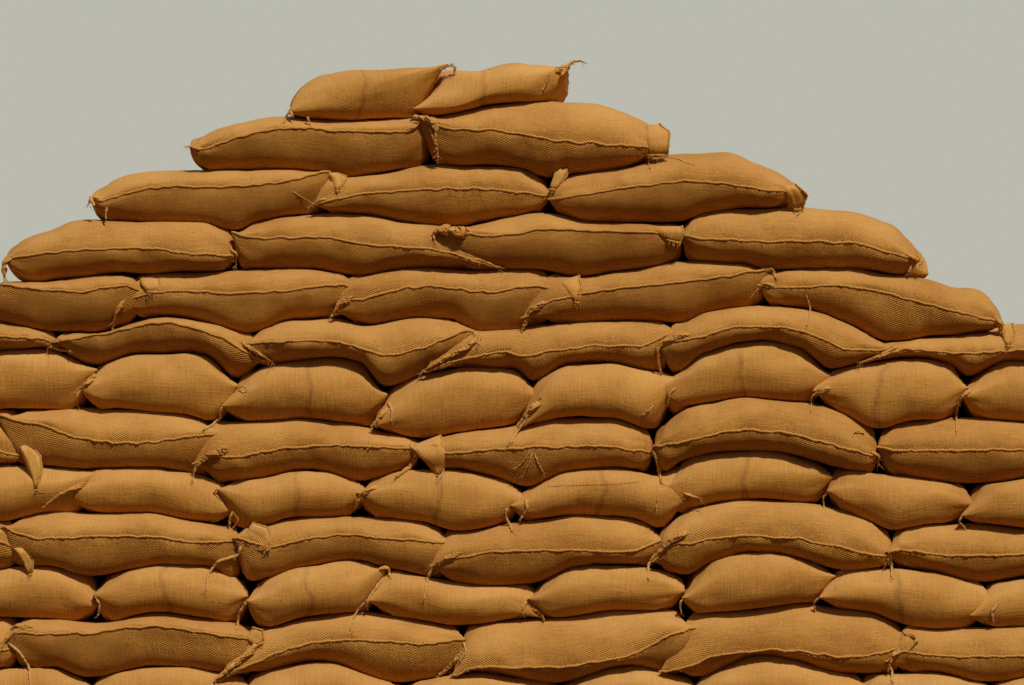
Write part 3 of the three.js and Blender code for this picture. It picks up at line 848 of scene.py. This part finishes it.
def wrinkle(sack, sheet, inset):
    """The sheet with its lumps, the gathers that run out from its ears and the seam's puckers."""
    along, across = sheet[..., 0], sheet[..., 1]
    seed = int(sack.rng.integers(1 << 30))
    height = LUMP * waves(seed, 0.2)(along, across + sheet[..., 2])
    if sack.row == 0:
        for _ in range(sack.rng.integers(1, 4)):
            place = sack.left + sack.rng.uniform(0.15, 0.85) * (sack.right - sack.left)
            lean = sack.rng.uniform(-0.5, 0.5)
            crease = (along - place - lean * inset["front"]) / sack.rng.uniform(0.016, 0.03)
            depth = sack.rng.uniform(*CREASE) * MM
            height = height - depth * np.exp(-crease ** 2 - (inset["front"] / 0.09) ** 2)
    for side in ("left", "right"):
        for face in ("front", "back"):
            a, b = inset[side], inset[face]
            reach = np.hypot(a, b)
            fan = np.sin(10 * np.arctan2(b, a + 1e-6) + sack.rng.uniform(0, 6))
            gather = GATHER * fan * np.exp(-((reach - 0.065) / 0.05) ** 2)
            height = height + gather * sack.open[face]
    if sack.bare():
        away = np.clip(inset["front"] / 0.16 - 0.4, 0, 1) if sack.row == 0 else 1
        height = height + LOOSE * away * waves(seed + 2, 0.15)(along, across)
    if not sack.endon:
        for face in ("front", "back"):
            pucker = waves(seed + 1, 0.045)(along, 0 * along)
            height = height + sack.open[face] * PUCKER * pucker * np.exp(-inset[face] / 0.03)
    body = np.minimum.reduce([inset[side] for side in inset])
    return sheet + (height * np.clip(body / 0.008, 0, 1))[..., None] * normals(sheet)


def add_body(piece, sack):
    """The crown and the belly of a sack. Returns the lines of the rim between them."""
    crown, belly, inset = sack.shape()
    rim = dict(front=crown[:, 0], back=crown[:, -1], left=crown[0], right=crown[-1])
    rim = {side: line.copy() for side, line in rim.items()}
    crown = wrinkle(sack, crown, inset)
    belly = wrinkle(sack, belly * [1, 1, -1], inset) * [1, 1, -1]
    rows, columns = crown.shape[:2]
    number = np.arange(rows * columns).reshape(rows, columns)
    under = number.copy()
    inner = (rows - 2) * (columns - 2)
    under[1:-1, 1:-1] = rows * columns + np.arange(inner).reshape(rows - 2, columns - 2)
    points = np.concatenate([crown.reshape(-1, 3), belly[1:-1, 1:-1].reshape(-1, 3)])
    lengths = []
    for sheet in (crown, belly):
        from_front = run_lengths(sheet, 1)
        if not sack.open["front"]:
            from_front = from_front - from_front[:, -1:]
        if sack.endon and sheet is belly:
            from_front = -from_front
        from_middle = run_lengths(sheet, 0)
        from_middle = from_middle - from_middle[rows // 2]
        pair = (from_front, from_middle) if sack.endon else (from_middle, from_front)
        lengths.append(np.stack(pair, axis=-1))
    faces = np.concatenate([quads(number), quads(under, True)]).tolist()
    corners = np.concatenate([quads(lengths[0]), quads(lengths[1], True)])
    band = sack.endon * sack.rng.uniform(-0.6, 1)
    if sack.row == 0:
        band = BAND if sack.key in BANDED else 0
    piece.add(points, faces, corners, JUTE, [sack.tone, band, sack.laid(TWILLS)])
    return rim


# The seam's cord, with how far apart its points are and how many of them have a loose fibre; then
# the points of a sewn mouth's lip, its stitches, and the points of loose twine
CORD_RADIUS = 4.4 * MM
CORD_PITCH = 8 * MM
FIBRE_SHARE = 1 / 16
LIP_PITCH = 14 * MM
STITCH_RADIUS = 1.6 * MM
TWINE_PITCH = 5 * MM
# A rolled ear, fine at the front and plain elsewhere: how far apart its points are, and how many
# strands, fibres along it and fibres at its end it has
FINE_ROLL = (4 * MM, 3, 6, 5)
PLAIN_ROLL = (8 * MM, 2, 3, 2)
# How many fibres hang from a loose corner of cloth and from the end of a twine
FLAP_FIBRES = 14
TWINE_FIBRES = 4
# The share of the tips on the other three sides that have no ear or twine
BARE_TIPS = 0.35
# A loose corner of cloth: how thick it is, how deep its folds are and how many half waves they make
FLAP_THICK = 5 * MM
FLAP_FOLD = 2.6 * MM
FLAP_WAVES = 4.4
# The lowest that loose fibres may hang
OVER_FLOOR = 3 * MM
OUTWARD = {"front": (0, -1, 0), "back": (0, 1, 0), "left": (-1, 0, 0), "right": (1, 0, 0)}


def add_seams(piece, sack, rim):
    """The frayed cord of the seam along each long side that shows."""
    for side in ("left", "right") if sack.endon else ("front", "back"):
        if not sack.open[side]:
            continue
        path = resample(rim[side] + np.array(OUTWARD[side]) * 1 * MM, CORD_PITCH)
        path[1:-1] += piece.rng.normal(0, 0.7 * MM, (len(path) - 2, 3))
        radius = CORD_RADIUS * piece.rng.uniform(0.75, 1.25, len(path))
        radius[[0, -1]] = 3 * MM
        piece.add_tube(path, radius, 6, CORD, [sack.tone, 0, 0])
        for n in piece.rng.choice(
                len(path) - 2, int(len(path) * FIBRE_SHARE), replace=False) + 1:
            drop = np.array(OUTWARD[side]) * 0.3 + piece.rng.normal(0, 0.5, 3) - [0, 0, 0.4]
            add_fibre(piece, path[n], drop, piece.rng.uniform(7, 16) * MM, sack.tone)


def add_mouth(piece, sack, rim):
    """The sewn mouth at the end of a sack that shows: a lip of folded cloth and its stitches."""
    side = "back" if sack.endon else "right"
    if not sack.open[side] or sack.course >= SLACK_FROM or sack.dome and sack.row == 0:
        return
    outward = np.array(OUTWARD[side])
    path = resample(rim[side][2:-2] + 5 * MM * outward, LIP_PITCH)
    path += piece.rng.normal(0, 1 * MM, path.shape)
    radius = piece.rng.uniform(6, 8, len(path)) * MM
    piece.add_tube(path, radius, 6, JUTE, [sack.tone + 1.5, 0, 0])
    for n in range(1, len(path) - 2, 2):
        mid, ahead = path[n], path[n + 1] - path[n]
        ends = [mid + 6 * MM * outward + [0, 0, 7 * MM], mid + 9 * MM * outward + 0.5 * ahead,
                mid + 6 * MM * outward + ahead - [0, 0, 7 * MM]]
        piece.add_tube(np.array(ends), np.full(3, STITCH_RADIUS), 3, THREAD, [0, 0, 0])


def add_fibre(piece, start, way, length, tone):
    """A single loose fibre with a bend in it."""
    steps = np.linspace(0, 1, 4)[:, None]
    bend = piece.rng.normal(0, 0.3, 3)
    line = start + length * (steps * unit(np.array(way)) + steps * steps * bend)
    line[:, 2] = np.maximum(line[:, 2], OVER_FLOOR)
    piece.add_tube(line, np.linspace(1.1, 0.5, 4) * MM, 3, TWINE, [tone, 0, 0])


def rounded(route):
    """The route with its corners cut off twice, so that it bends smoothly."""
    for _ in range(2):
        first, second = 0.75 * route[:-1] + 0.25 * route[1:], 0.25 * route[:-1] + 0.75 * route[1:]
        middle = np.stack([first, second], axis=1).reshape(-1, route.shape[1])
        route = np.concatenate([route[:1], middle[1:-1], route[-1:]])
    return route


def add_roll(piece, path, width, tone, detail=FINE_ROLL):
    """A gathered corner of the cloth: a crumpled core with ends of the seam cord round it."""
    rng = piece.rng
    point_pitch, strands, fibres, end_fibres = detail
    path = resample(rounded(path), point_pitch)
    count = len(path)
    along = np.linspace(0, 1, count)
    path[2:] += rng.normal(0, 0.04 * width, (count - 2, 3))
    uneven = np.interp(along, np.linspace(0, 1, 5), rng.uniform(0.7, 1.25, 5))
    girth = width * (0.38 - 0.22 * along) * uneven
    # The core's tone is raised above its sack's: partly the paler cloth of the ear, partly painted
    # light that offsets the shade of its crumples
    piece.add_tube(path, girth, 7, JUTE, [tone + 2, 0, 0], twist=7, ridge=0.2, crumple=0.12)
    side, up = directions(path)
    start, pitch = rng.uniform(0, 6), rng.uniform(130, 320) * MM
    for n in range(strands):
        turn = (start + 2.1 * n + 2 * math.pi * run_lengths(path) / pitch)[:, None]
        strand = path + 0.9 * girth[:, None] * (np.cos(turn) * side + np.sin(turn) * up)
        strand = strand + rng.normal(0, 0.3 * MM, strand.shape)
        strand = strand[:max(4, int(count * rng.uniform(0.5, 1)))]
        thick = (width * rng.uniform(0.08, 0.13) + 1 * MM) * np.linspace(1, 0.7, len(strand))
        piece.add_tube(strand, thick, 5, CORD, [tone, 0, 0])
    for n in rng.integers(1, count - 1, fibres):
        add_fibre(piece, path[n] - [0, 0, girth[n] * 0.6], rng.normal(0, 0.6, 3) - [0, 0, 0.7],
                  rng.uniform(7, 17) * MM, tone)
    for _ in range(end_fibres):
        ahead = unit(path[-1] - path[-3]) + rng.normal(0, 0.5, 3) - [0, 0, 0.4]
        add_fibre(piece, path[-1], ahead, rng.uniform(12, 28) * MM, tone)


def add_flap(piece, sheet, tone):
    """A crumpled piece of cloth with a corded hem; sheet is its grid of points, as seen."""
    rng = piece.rng
    rows, columns = sheet.shape[:2]
    outward = np.array([0, -1, 0])
    fold = np.sin(np.linspace(0, FLAP_WAVES * math.pi, columns) + rng.uniform(0, 6))
    sheet = sheet + (FLAP_FOLD * fold)[None, :, None] * outward
    sheet = sheet + rng.normal(0, 1.2 * MM, (rows, columns, 1)) * outward
    back = sheet - outward * FLAP_THICK
    number = np.arange(rows * columns).reshape(rows, columns)
    under = number + rows * columns
    ring = np.concatenate([number[:, 0], number[-1, 1:], number[-2::-1, -1], number[0, -2::-1]])
    around = np.stack([ring[:-1], ring[1:], ring[1:], ring[:-1]], axis=1)
    walls = around + rows * columns * np.array([0, 0, 1, 1])
    lengths = np.stack([run_lengths(sheet, 0), run_lengths(sheet, 1)], axis=-1)
    faces = np.concatenate([quads(number, True), quads(under), walls]).tolist()
    corners = np.concatenate([
        quads(lengths, True), quads(lengths), lengths.reshape(-1, 2)[around]])
    # The flap's tone is raised well above its sack's: painted light, as if the flap were turned to
    # the sun
    piece.add(np.concatenate([sheet, back]).reshape(-1, 3), faces, corners, JUTE,
              [tone + 3.5, 0, 0.7])
    for edge in (sheet[:, -1], sheet[-1]):
        hem = resample(edge + 1 * outward * MM, 6 * MM)
        hem += rng.normal(0, 0.6 * MM, hem.shape)
        piece.add_tube(hem, rng.uniform(2.6, 4.2, len(hem)) * MM, 6, CORD, [tone, 0, 0])
    for n in range(FLAP_FIBRES):
        add_fibre(piece, sheet[-1, n % columns], rng.normal(0, 0.4, 3) - [0, 0.2, 1],
                  rng.uniform(8, 20) * MM, tone)


def add_tail(piece, path, width, tone, slot=None):
    """Loose twisted twine with a frayed end."""
    path = resample(rounded(path), TWINE_PITCH)
    along = np.linspace(0, 1, len(path))
    path[1:] += piece.rng.normal(0, 0.7 * MM, (len(path) - 1, 3))
    girth = width / 2 * (1 - 0.45 * along) * piece.rng.uniform(0.8, 1.25, len(path))
    piece.add_tube(path, girth, 5, TWINE if slot is None else slot, [tone, 0, 0])
    if slot is None:
        for _ in range(TWINE_FIBRES):
            ahead = unit(path[-1] - path[-2]) + piece.rng.normal(0, 0.4, 3)
            add_fibre(piece, path[-1], ahead, piece.rng.uniform(8, 22) * MM, tone)


def tree_of(pieces):
    """The sacks' bodies together, for finding what a ray meets first."""
    points, faces, count = [], [], 0
    for piece in pieces:
        points += piece.points[0].tolist()
        faces += [[count + n for n in face] for face in piece.faces]
        count += len(piece.points[0])
    return BVHTree.FromPolygons(points, faces)


# How a route goes down where the sacks fall back from it: at its start, and as a share of its
# length after that; how far it lies out from them, as a share of its radius; and where it starts
# if nothing lies behind it
START_FALL = 0.06
FALL = 0.55
LIFT = 0.75
ROUTE_START = -FRONT - 0.04
FLAP_START = -FRONT - 0.05
# From where the rays are sent that find the sacks, and how far twine keeps off the floor
OUTSIDE = 6
OFF_FLOOR = 8 * MM


class Wall:
    """A side of the stack seen square on, with what lies in front of what."""

    def __init__(self, side, tree):
        self.tree = tree
        self.outward = np.array(OUTWARD[side], float)
        self.across = np.array([abs(self.outward[1]), abs(self.outward[0]), 0])

    def lay(self, route, radius, sink=0.6, start=ROUTE_START):
        """Points of a route of lengths across and up, laid on the sacks, its start sunk in them."""
        points, out = [], start
        for n, (across, up) in enumerate(route):
            far = self.across * across + np.array([0, 0, up]) + OUTSIDE * self.outward
            hit = self.tree.ray_cast(far.tolist(), (-self.outward).tolist())[0]
            met = out if hit is None else np.array(hit) @ self.outward
            step = np.subtract(route[n], route[n - 1])
            out = max(met, out - (START_FALL if n == 0 else FALL * np.linalg.norm(step)))
            lift = -sink if n == 0 else LIFT
            points.append(far + self.outward * (out + lift * radius - far @ self.outward))
        points = np.array(points)
        points[:, 2] = np.maximum(points[:, 2], radius + OFF_FLOOR)
        return points


def traced(route):
    """A route of pixels of the photograph as lengths across and up, with points between them."""
    corners = np.array([photo(*pixel) for pixel in route])
    steps = np.arange(0, len(route) - 0.99, 0.5)
    return np.stack([np.interp(steps, range(len(route)), corners[:, k]) for k in range(2)], axis=1)


def flap_sheet(wall, sack, first, second):
    """A corner of cloth between its two edges, held by the edge nearer the sack's middle."""
    edges = [wall.lay(traced(edge), 8 * MM, 0.2, FLAP_START) for edge in (first, second)]
    share = np.linspace(0, 1, 7)[None, :, None]
    sheet = (1 - share) * edges[0][:, None] + share * edges[1][:, None]
    near = np.minimum(edges[0][:, 1], edges[1][:, 1])
    near = np.minimum(near, np.linspace(near[0], near[-1], len(near)))[:, None]
    free = share[..., 0]
    if sheet[..., 0].mean() <= 0.5 * (sack.left + sack.right):
        free = 1 - free
    sheet[..., 1] = near + 12 * MM * (1 - np.minimum(6 * free, 1)) + 8 * MM * free
    sheet[..., 1] -= 4 * MM * np.sin(math.pi * free)
    return sheet


def dress_front(pieces, wall):
    """The rolled corners, twine and threads that the photograph shows."""
    for course, place, width, route in ROLLS:
        piece, sack = pieces[course, 0, place]
        size = width * PIXEL
        add_roll(piece, wall.lay(traced(route), size / 2), size, sack.tone)
    for course, place, first, second in FLAPS:
        piece, sack = pieces[course, 0, place]
        add_flap(piece, flap_sheet(wall, sack, first, second), sack.tone)
    for course, place, width, route in TAILS:
        piece, sack = pieces[course, 0, place]
        size = width * PIXEL * 0.9
        add_tail(piece, wall.lay(traced(route), size / 2), size, sack.tone)
    for course, place, route in THREADS:
        piece, sack = pieces[course, 0, place]
        add_tail(piece, wall.lay(traced(route), 2 * MM, 0), 4 * MM, sack.tone, THREAD)
    for course, place, route in STITCHES:
        piece, sack = pieces[course, 0, place]
        line = resample(wall.lay(traced(route), 1 * MM, 0), 5 * MM)
        for n in range(0, len(line) - 2, 2):
            piece.add_tube(line[n:n + 2], np.full(2, 2 * MM), 4, STITCH, [0, 0, 0])


def dress_side(pieces, wall, side):
    """Rolled corners and twine at the tips of the sacks that show on another side."""
    axis = int(np.argmax(wall.across))
    for (course, row, place), (piece, sack) in pieces.items():
        if not sack.open[side]:
            continue
        rim = sack.rim[side]
        for tip, inner, outward in ((rim[0], rim[8], -1), (rim[-1], rim[-9], 1)):
            if piece.rng.random() < BARE_TIPS:
                continue
            root, start = (np.array([p[axis], p[2]]) for p in (inner, tip))
            way = np.array([outward * piece.rng.uniform(-0.2, 0.8), -piece.rng.uniform(0.5, 1)])
            length = piece.rng.uniform(20, 55) * MM
            size = piece.rng.uniform(18, 32) * MM
            end = start + way * length
            corner = start + [outward * 0.2 * length, -0.1 * length]
            route = np.array([start + 0.3 * (root - start), corner, 0.5 * (corner + end), end])
            out = tip @ wall.outward
            hang = np.array([end, end + [0, -0.5 * length], end + [0.1 * length, -length]])
            roll, tail = wall.lay(route, size / 2, start=out), wall.lay(hang, 5 * MM, start=out)
            if max((roll @ wall.outward).max(), (tail @ wall.outward).max()) < out + 60 * MM:
                add_roll(piece, roll, size, sack.tone, PLAIN_ROLL)
                add_tail(piece, tail, 10 * MM, sack.tone)


# How far apart the twill lines of the cloth are, and the turns of a twine
TWILL_PITCH = 7.5 * MM
LAY_PITCH = 9 * MM
# Slubs and motes in the weave, the faded band and stains
SLUB = (0.15, 0.065, 0.02, 1)
MOTE = (0.70, 0.47, 0.2, 1)
FADED = (0.20, 0.065, 0.014, 1)
STAIN = (0.40, 0.10, 0.025, 1)


class Nodes:
    """The nodes of a material or of the world, added one by one."""

    def __init__(self, owner):
        owner.use_nodes = True
        self.owner = owner
        self.tree = owner.node_tree
        self.tree.nodes.clear()

    def add(self, kind, inputs=(), **settings):
        node = self.tree.nodes.new("ShaderNode" + kind)
        for key, value in settings.items():
            setattr(node, key, value)
        for key, value in dict(inputs).items():
            if isinstance(value, bpy.types.NodeSocket):
                self.tree.links.new(value, node.inputs[key])
            else:
                node.inputs[key].default_value = value
        return node

    def math(self, operation, *values):
        return self.add("Math", enumerate(values), operation=operation).outputs[0]

    def times(self, first, *others):
        for other in others:
            first = self.math("MULTIPLY", first, other)
        return first

    def add_up(self, start, parts):
        """The start and the parts, each about 0.5 and counted by its weight."""
        for part, weight in parts:
            start = self.math("MULTIPLY_ADD", self.math("SUBTRACT", part, 0.5), weight, start)
        return start

    def scaled(self, vector, scale):
        return self.add("VectorMath", {0: vector, 1: scale}, operation="MULTIPLY").outputs[0]

    def split(self, vector):
        return self.add("SeparateXYZ", {0: vector}).outputs

    def noise(self, vector, scale, detail=2.0):
        inputs = {"Vector": self.scaled(vector, scale), "Scale": 1.0, "Detail": detail}
        return self.add("TexNoise", inputs).outputs["Fac"]

    def mix(self, share, first, second):
        node = self.add("Mix", {0: share, 6: first, 7: second}, data_type="RGBA")
        return node.outputs[2]

    def step(self, value, start, end, low=0.0, high=1.0):
        inputs = {"Value": value, "From Min": start, "From Max": end, "To Min": low,
                  "To Max": high}
        return self.add("MapRange", inputs).outputs["Result"]

    def rough(self, colour, strength, distance, height):
        """Ends a material as matt cloth with a relief."""
        bump = self.add("Bump", {"Strength": strength, "Distance": distance, "Height": height})
        shader = self.add("BsdfPrincipled", {
            "Base Color": colour, "Roughness": 0.95, "Specular IOR Level": 0.12,
            "Normal": bump.outputs["Normal"]})
        self.add("OutputMaterial", {"Surface": shader.outputs[0]})
        return self.owner


def twill_lines(n, cloth, parts, facing, share):
    """Slanting lines of the weave, broken up and fainter on top of a sack, from -1 to 1. In the
    colour, their extra strength on sides and bellies is painted shade and light of the twill's
    ridges, where light grazes them.
    """
    slant = n.math("MULTIPLY_ADD", parts["X"], 0.7, parts["Y"])
    slant = n.math("MULTIPLY_ADD", n.noise(cloth, (40, 40, 1)), 0.005, slant)
    lines = n.math("SINE", n.math("MULTIPLY", slant, 2 * math.pi / TWILL_PITCH))
    # Stronger on faces that look sideways or down, fainter on faces that look up: in the colour
    # this is painted shade and light of the twill where light grazes it
    strong = n.times(n.step(n.noise(cloth, (5, 7, 1)), 0.38, 0.62, 0.5, 1),
                     n.step(n.noise(cloth, (75, 120, 1)), 0.35, 0.65, 0.3, 1.25),
                     n.step(facing, -0.1, 0.6, 1.15, 0.22))
    return n.times(lines, n.times(strong, share))


def band_share(n, parts, tint, ribs, mottle, patches):
    """How much of the faded band shows: it runs near the middle of a sack, with ragged edges."""
    lean = n.math("MULTIPLY_ADD", patches, 0.12, 0.44)
    lean = n.math("MULTIPLY_ADD", tint["X"], 0.03, lean)
    place = n.math("FRACT", n.math("ADD", parts["Y"], lean))
    away = n.math("ABSOLUTE", n.math("SUBTRACT", place, 0.5))
    ragged = n.math("MULTIPLY_ADD", ribs, 10 * MM, away)
    return n.times(n.step(ragged, 8 * MM, 20 * MM, 0.60, 0), n.step(tint["Y"], 0, 0.5),
                   n.step(mottle, 0.3, 0.6, 0.5, 1))


def weave_material(name, dark, light, dust_and_highlight_colour):
    """Woven jute: ribs and twill, whose colour carries some painted shade of its ridges, slubs,
    motes, a faded band, stains, and a paler colour on top that is partly dust and partly a painted
    highlight.
    """
    n = Nodes(bpy.data.materials.new(name))
    cloth = n.add("UVMap", uv_map=CLOTH).outputs["UV"]
    place = n.add("TexCoord").outputs["Object"]
    tint = n.split(n.add("Attribute", attribute_name=TINT).outputs["Vector"])
    parts = n.split(cloth)
    facing = n.split(n.add("NewGeometry").outputs["Normal"])["Z"]
    ribs = n.noise(cloth, (13, 150, 1))
    picks = n.noise(cloth, (150, 18, 1))
    grain = n.noise(cloth, (170, 190, 1), 1.0)
    mottle = n.noise(cloth, (45, 65, 1))
    patches = n.noise(place, (4, 4, 7), 3.0)
    twill = twill_lines(n, cloth, parts, facing, tint["Z"])
    shade = n.add_up(0.5, [(ribs, 0.70), (picks, 0.40), (grain, 0.65), (mottle, 0.18),
                           (patches, 0.95)])
    # The twill in the colour: the weave's own pattern, with painted shade and light that is
    # stronger on sides and bellies
    shade = n.math("MULTIPLY_ADD", twill, 0.14, shade)
    shade = n.math("MULTIPLY_ADD", tint["X"], 0.08, shade)
    colour = n.mix(n.step(shade, 0.05, 0.95), dark, light)
    slubs = n.noise(cloth, (60, 130, 1), 0.0)
    colour = n.mix(n.step(slubs, 0.74, 0.84, 0, 0.55), colour, SLUB)
    motes = n.noise(n.scaled(cloth, (1, -1, 1)), (150, 70, 1), 0.0)
    colour = n.mix(n.step(motes, 0.74, 0.86, 0, 0.5), colour, MOTE)
    colour = n.mix(band_share(n, parts, tint, ribs, mottle, patches), colour, FADED)
    stains = n.step(n.noise(n.scaled(place, (1, 1, -1)), (7, 7, 11), 1.0), 0.70, 0.80, 0, 0.4)
    colour = n.mix(stains, colour, STAIN)
    # Paler on faces that look up: partly dust, partly a painted highlight of the lit tops
    dust_and_highlight = n.times(n.step(facing, -0.3, 0.8, 0, 0.43), n.step(patches, 0.3, 0.7, 0.6, 1),
                   n.math("MULTIPLY_ADD", tint["X"], 0.12, 1.1))
    colour = n.mix(dust_and_highlight, colour, dust_and_highlight_colour)
    relief = n.math("MULTIPLY_ADD", twill, 1.1, n.math("ADD", ribs, picks))
    return n.rough(colour, 0.8, 1.6 * MM, relief)


def twine_material(name, dark, light):
    """Twisted fibres, lighter and darker along their lay."""
    n = Nodes(bpy.data.materials.new(name))
    cloth = n.add("UVMap", uv_map=CLOTH).outputs["UV"]
    parts = n.split(cloth)
    turn = n.math("MULTIPLY_ADD", parts["Y"], 0.9, parts["X"])
    lay = n.math("SINE", n.math("MULTIPLY", turn, 2 * math.pi / LAY_PITCH))
    fibres = n.noise(cloth, (120, 320, 1))
    shade = n.math("MULTIPLY_ADD", lay, 0.16, fibres)
    colour = n.mix(n.step(shade, 0.1, 0.9), dark, light)
    return n.rough(colour, 0.6, 1.5 * MM, shade)


# The jute's third colour is that of its tops: partly dust, partly a painted highlight
MATERIALS = [
    weave_material("jute_weave", (0.34, 0.120, 0.012, 1), (0.67, 0.315, 0.056, 1),
                   (0.64, 0.385, 0.15, 1)),
    twine_material("seam_cord", (0.40, 0.170, 0.030, 1), (0.70, 0.36, 0.090, 1)),
    twine_material("loose_twine", (0.44, 0.21, 0.05, 1), (0.80, 0.47, 0.16, 1)),
    twine_material("mouth_thread", (0.30, 0.09, 0.07, 1), (0.60, 0.27, 0.26, 1)),
    twine_material("stitch", (0.16, 0.065, 0.018, 1), (0.34, 0.15, 0.04, 1)),
]


def make_sacks():
    """Shapes the body of every sack first, so that the trim can be laid on all of them."""
    pieces = {}
    for course, (_, deep, _, joints) in enumerate(COURSES, start=1):
        for row in range(deep):
            for place in range(len(joints) - 1):
                sack = Sack(course, row, place)
                piece = Piece(course * 1000 + row * 100 + place)
                sack.rim = add_body(piece, sack)
                pieces[course, row, place] = piece, sack
    tree = tree_of(piece for piece, _ in pieces.values())
    for piece, sack in pieces.values():
        add_seams(piece, sack, sack.rim)
        add_mouth(piece, sack, sack.rim)
    dress_front(pieces, Wall("front", tree))
    for side in ("back", "left", "right"):
        dress_side(pieces, Wall(side, tree), side)
    for piece, sack in pieces.values():
        made = piece.make(sack.name())
        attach(made, "root")
        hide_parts(sack.node)


def make_stage():
    """A pale floor that doesn't tint the sacks."""
    mesh = bpy.data.meshes.new("floor")
    far = FLOOR_HALF
    mesh.from_pydata([(-far, -far, 0), (far, -far, 0), (far, far, 0), (-far, far, 0)], [],
                     [(0, 1, 2, 3)])
    floor = bpy.data.objects.new("floor", mesh)
    bpy.context.scene.collection.objects.link(floor)
    n = Nodes(bpy.data.materials.new("pale_floor"))
    shader = n.add("BsdfPrincipled", {"Base Color": FLOOR, "Roughness": 0.9})
    n.add("OutputMaterial", {"Surface": shader.outputs[0]})
    mesh.materials.append(n.owner)
    floor.visible_diffuse = False


def make_light():
    """A sun from the upper right, a weak sky, and the haze that the camera sees behind."""
    sun = bpy.data.lights.new("sun", "SUN")
    sun.energy = SUN_STRENGTH
    sun.angle = math.radians(SUN_WIDTH)
    sun.color = SUN_COLOUR
    lamp = bpy.data.objects.new("sun", sun)
    bpy.context.scene.collection.objects.link(lamp)
    lamp.rotation_euler = (math.radians(90 - SUN_HEIGHT), 0, math.radians(SUN_TURN))
    world = bpy.data.worlds.new("haze")
    bpy.context.scene.world = world
    n = Nodes(world)
    way = n.split(n.add("TexCoord").outputs["Generated"])
    tone = n.mix(n.step(way["Z"], -0.2, 0.6), GROUND, SKY)
    tone = n.mix(n.step(way["Y"], 0.1, 1.0), tone, BEHIND)
    sky, seen = n.add("Background", {"Color": tone}), n.add("Background", {"Color": HAZE})
    by_camera = n.add("LightPath").outputs["Is Camera Ray"]
    both = n.add("MixShader", {0: by_camera, 1: sky.outputs[0], 2: seen.outputs[0]})
    n.add("OutputWorld", {"Surface": both.outputs[0]})


def make_camera():
    """Level and far off, so that a pixel of the picture is PIXEL wide at the front."""
    camera = bpy.data.cameras.new("camera")
    camera.sensor_width = 36
    camera.lens = camera.sensor_width * CAMERA_DISTANCE / (PICTURE[0] * PIXEL)
    camera.clip_end = 200
    eye = bpy.data.objects.new("camera", camera)
    x, z = photo(PICTURE[0] / 2, PICTURE[1] / 2)
    eye.location = (x, FRONT - CAMERA_DISTANCE, z)
    eye.rotation_euler = (math.radians(90), 0, 0)
    bpy.context.scene.collection.objects.link(eye)
    bpy.context.scene.camera = eye


# How far the camera stands in front of the stack, the floor's colour and half its size, the sun
# with the degrees that it is wide, high and turned to the right, and the colours of the sky
CAMERA_DISTANCE = 16
FLOOR = (0.55, 0.53, 0.47, 1)
FLOOR_HALF = 40
SUN_COLOUR = (1.0, 0.97, 0.90)
SUN_STRENGTH = 2.86
SUN_WIDTH = 4
SUN_HEIGHT = 51
SUN_TURN = 22
SKY = (0.215, 0.20, 0.178, 1)
GROUND = (0.10, 0.050, 0.024, 1)
BEHIND = (0.42, 0.42, 0.40, 1)
HAZE = (0.497, 0.491, 0.423, 1)

make_camera()
make_sacks()
make_stage()
make_light()
bpy.context.scene.view_settings.view_transform = "Standard"
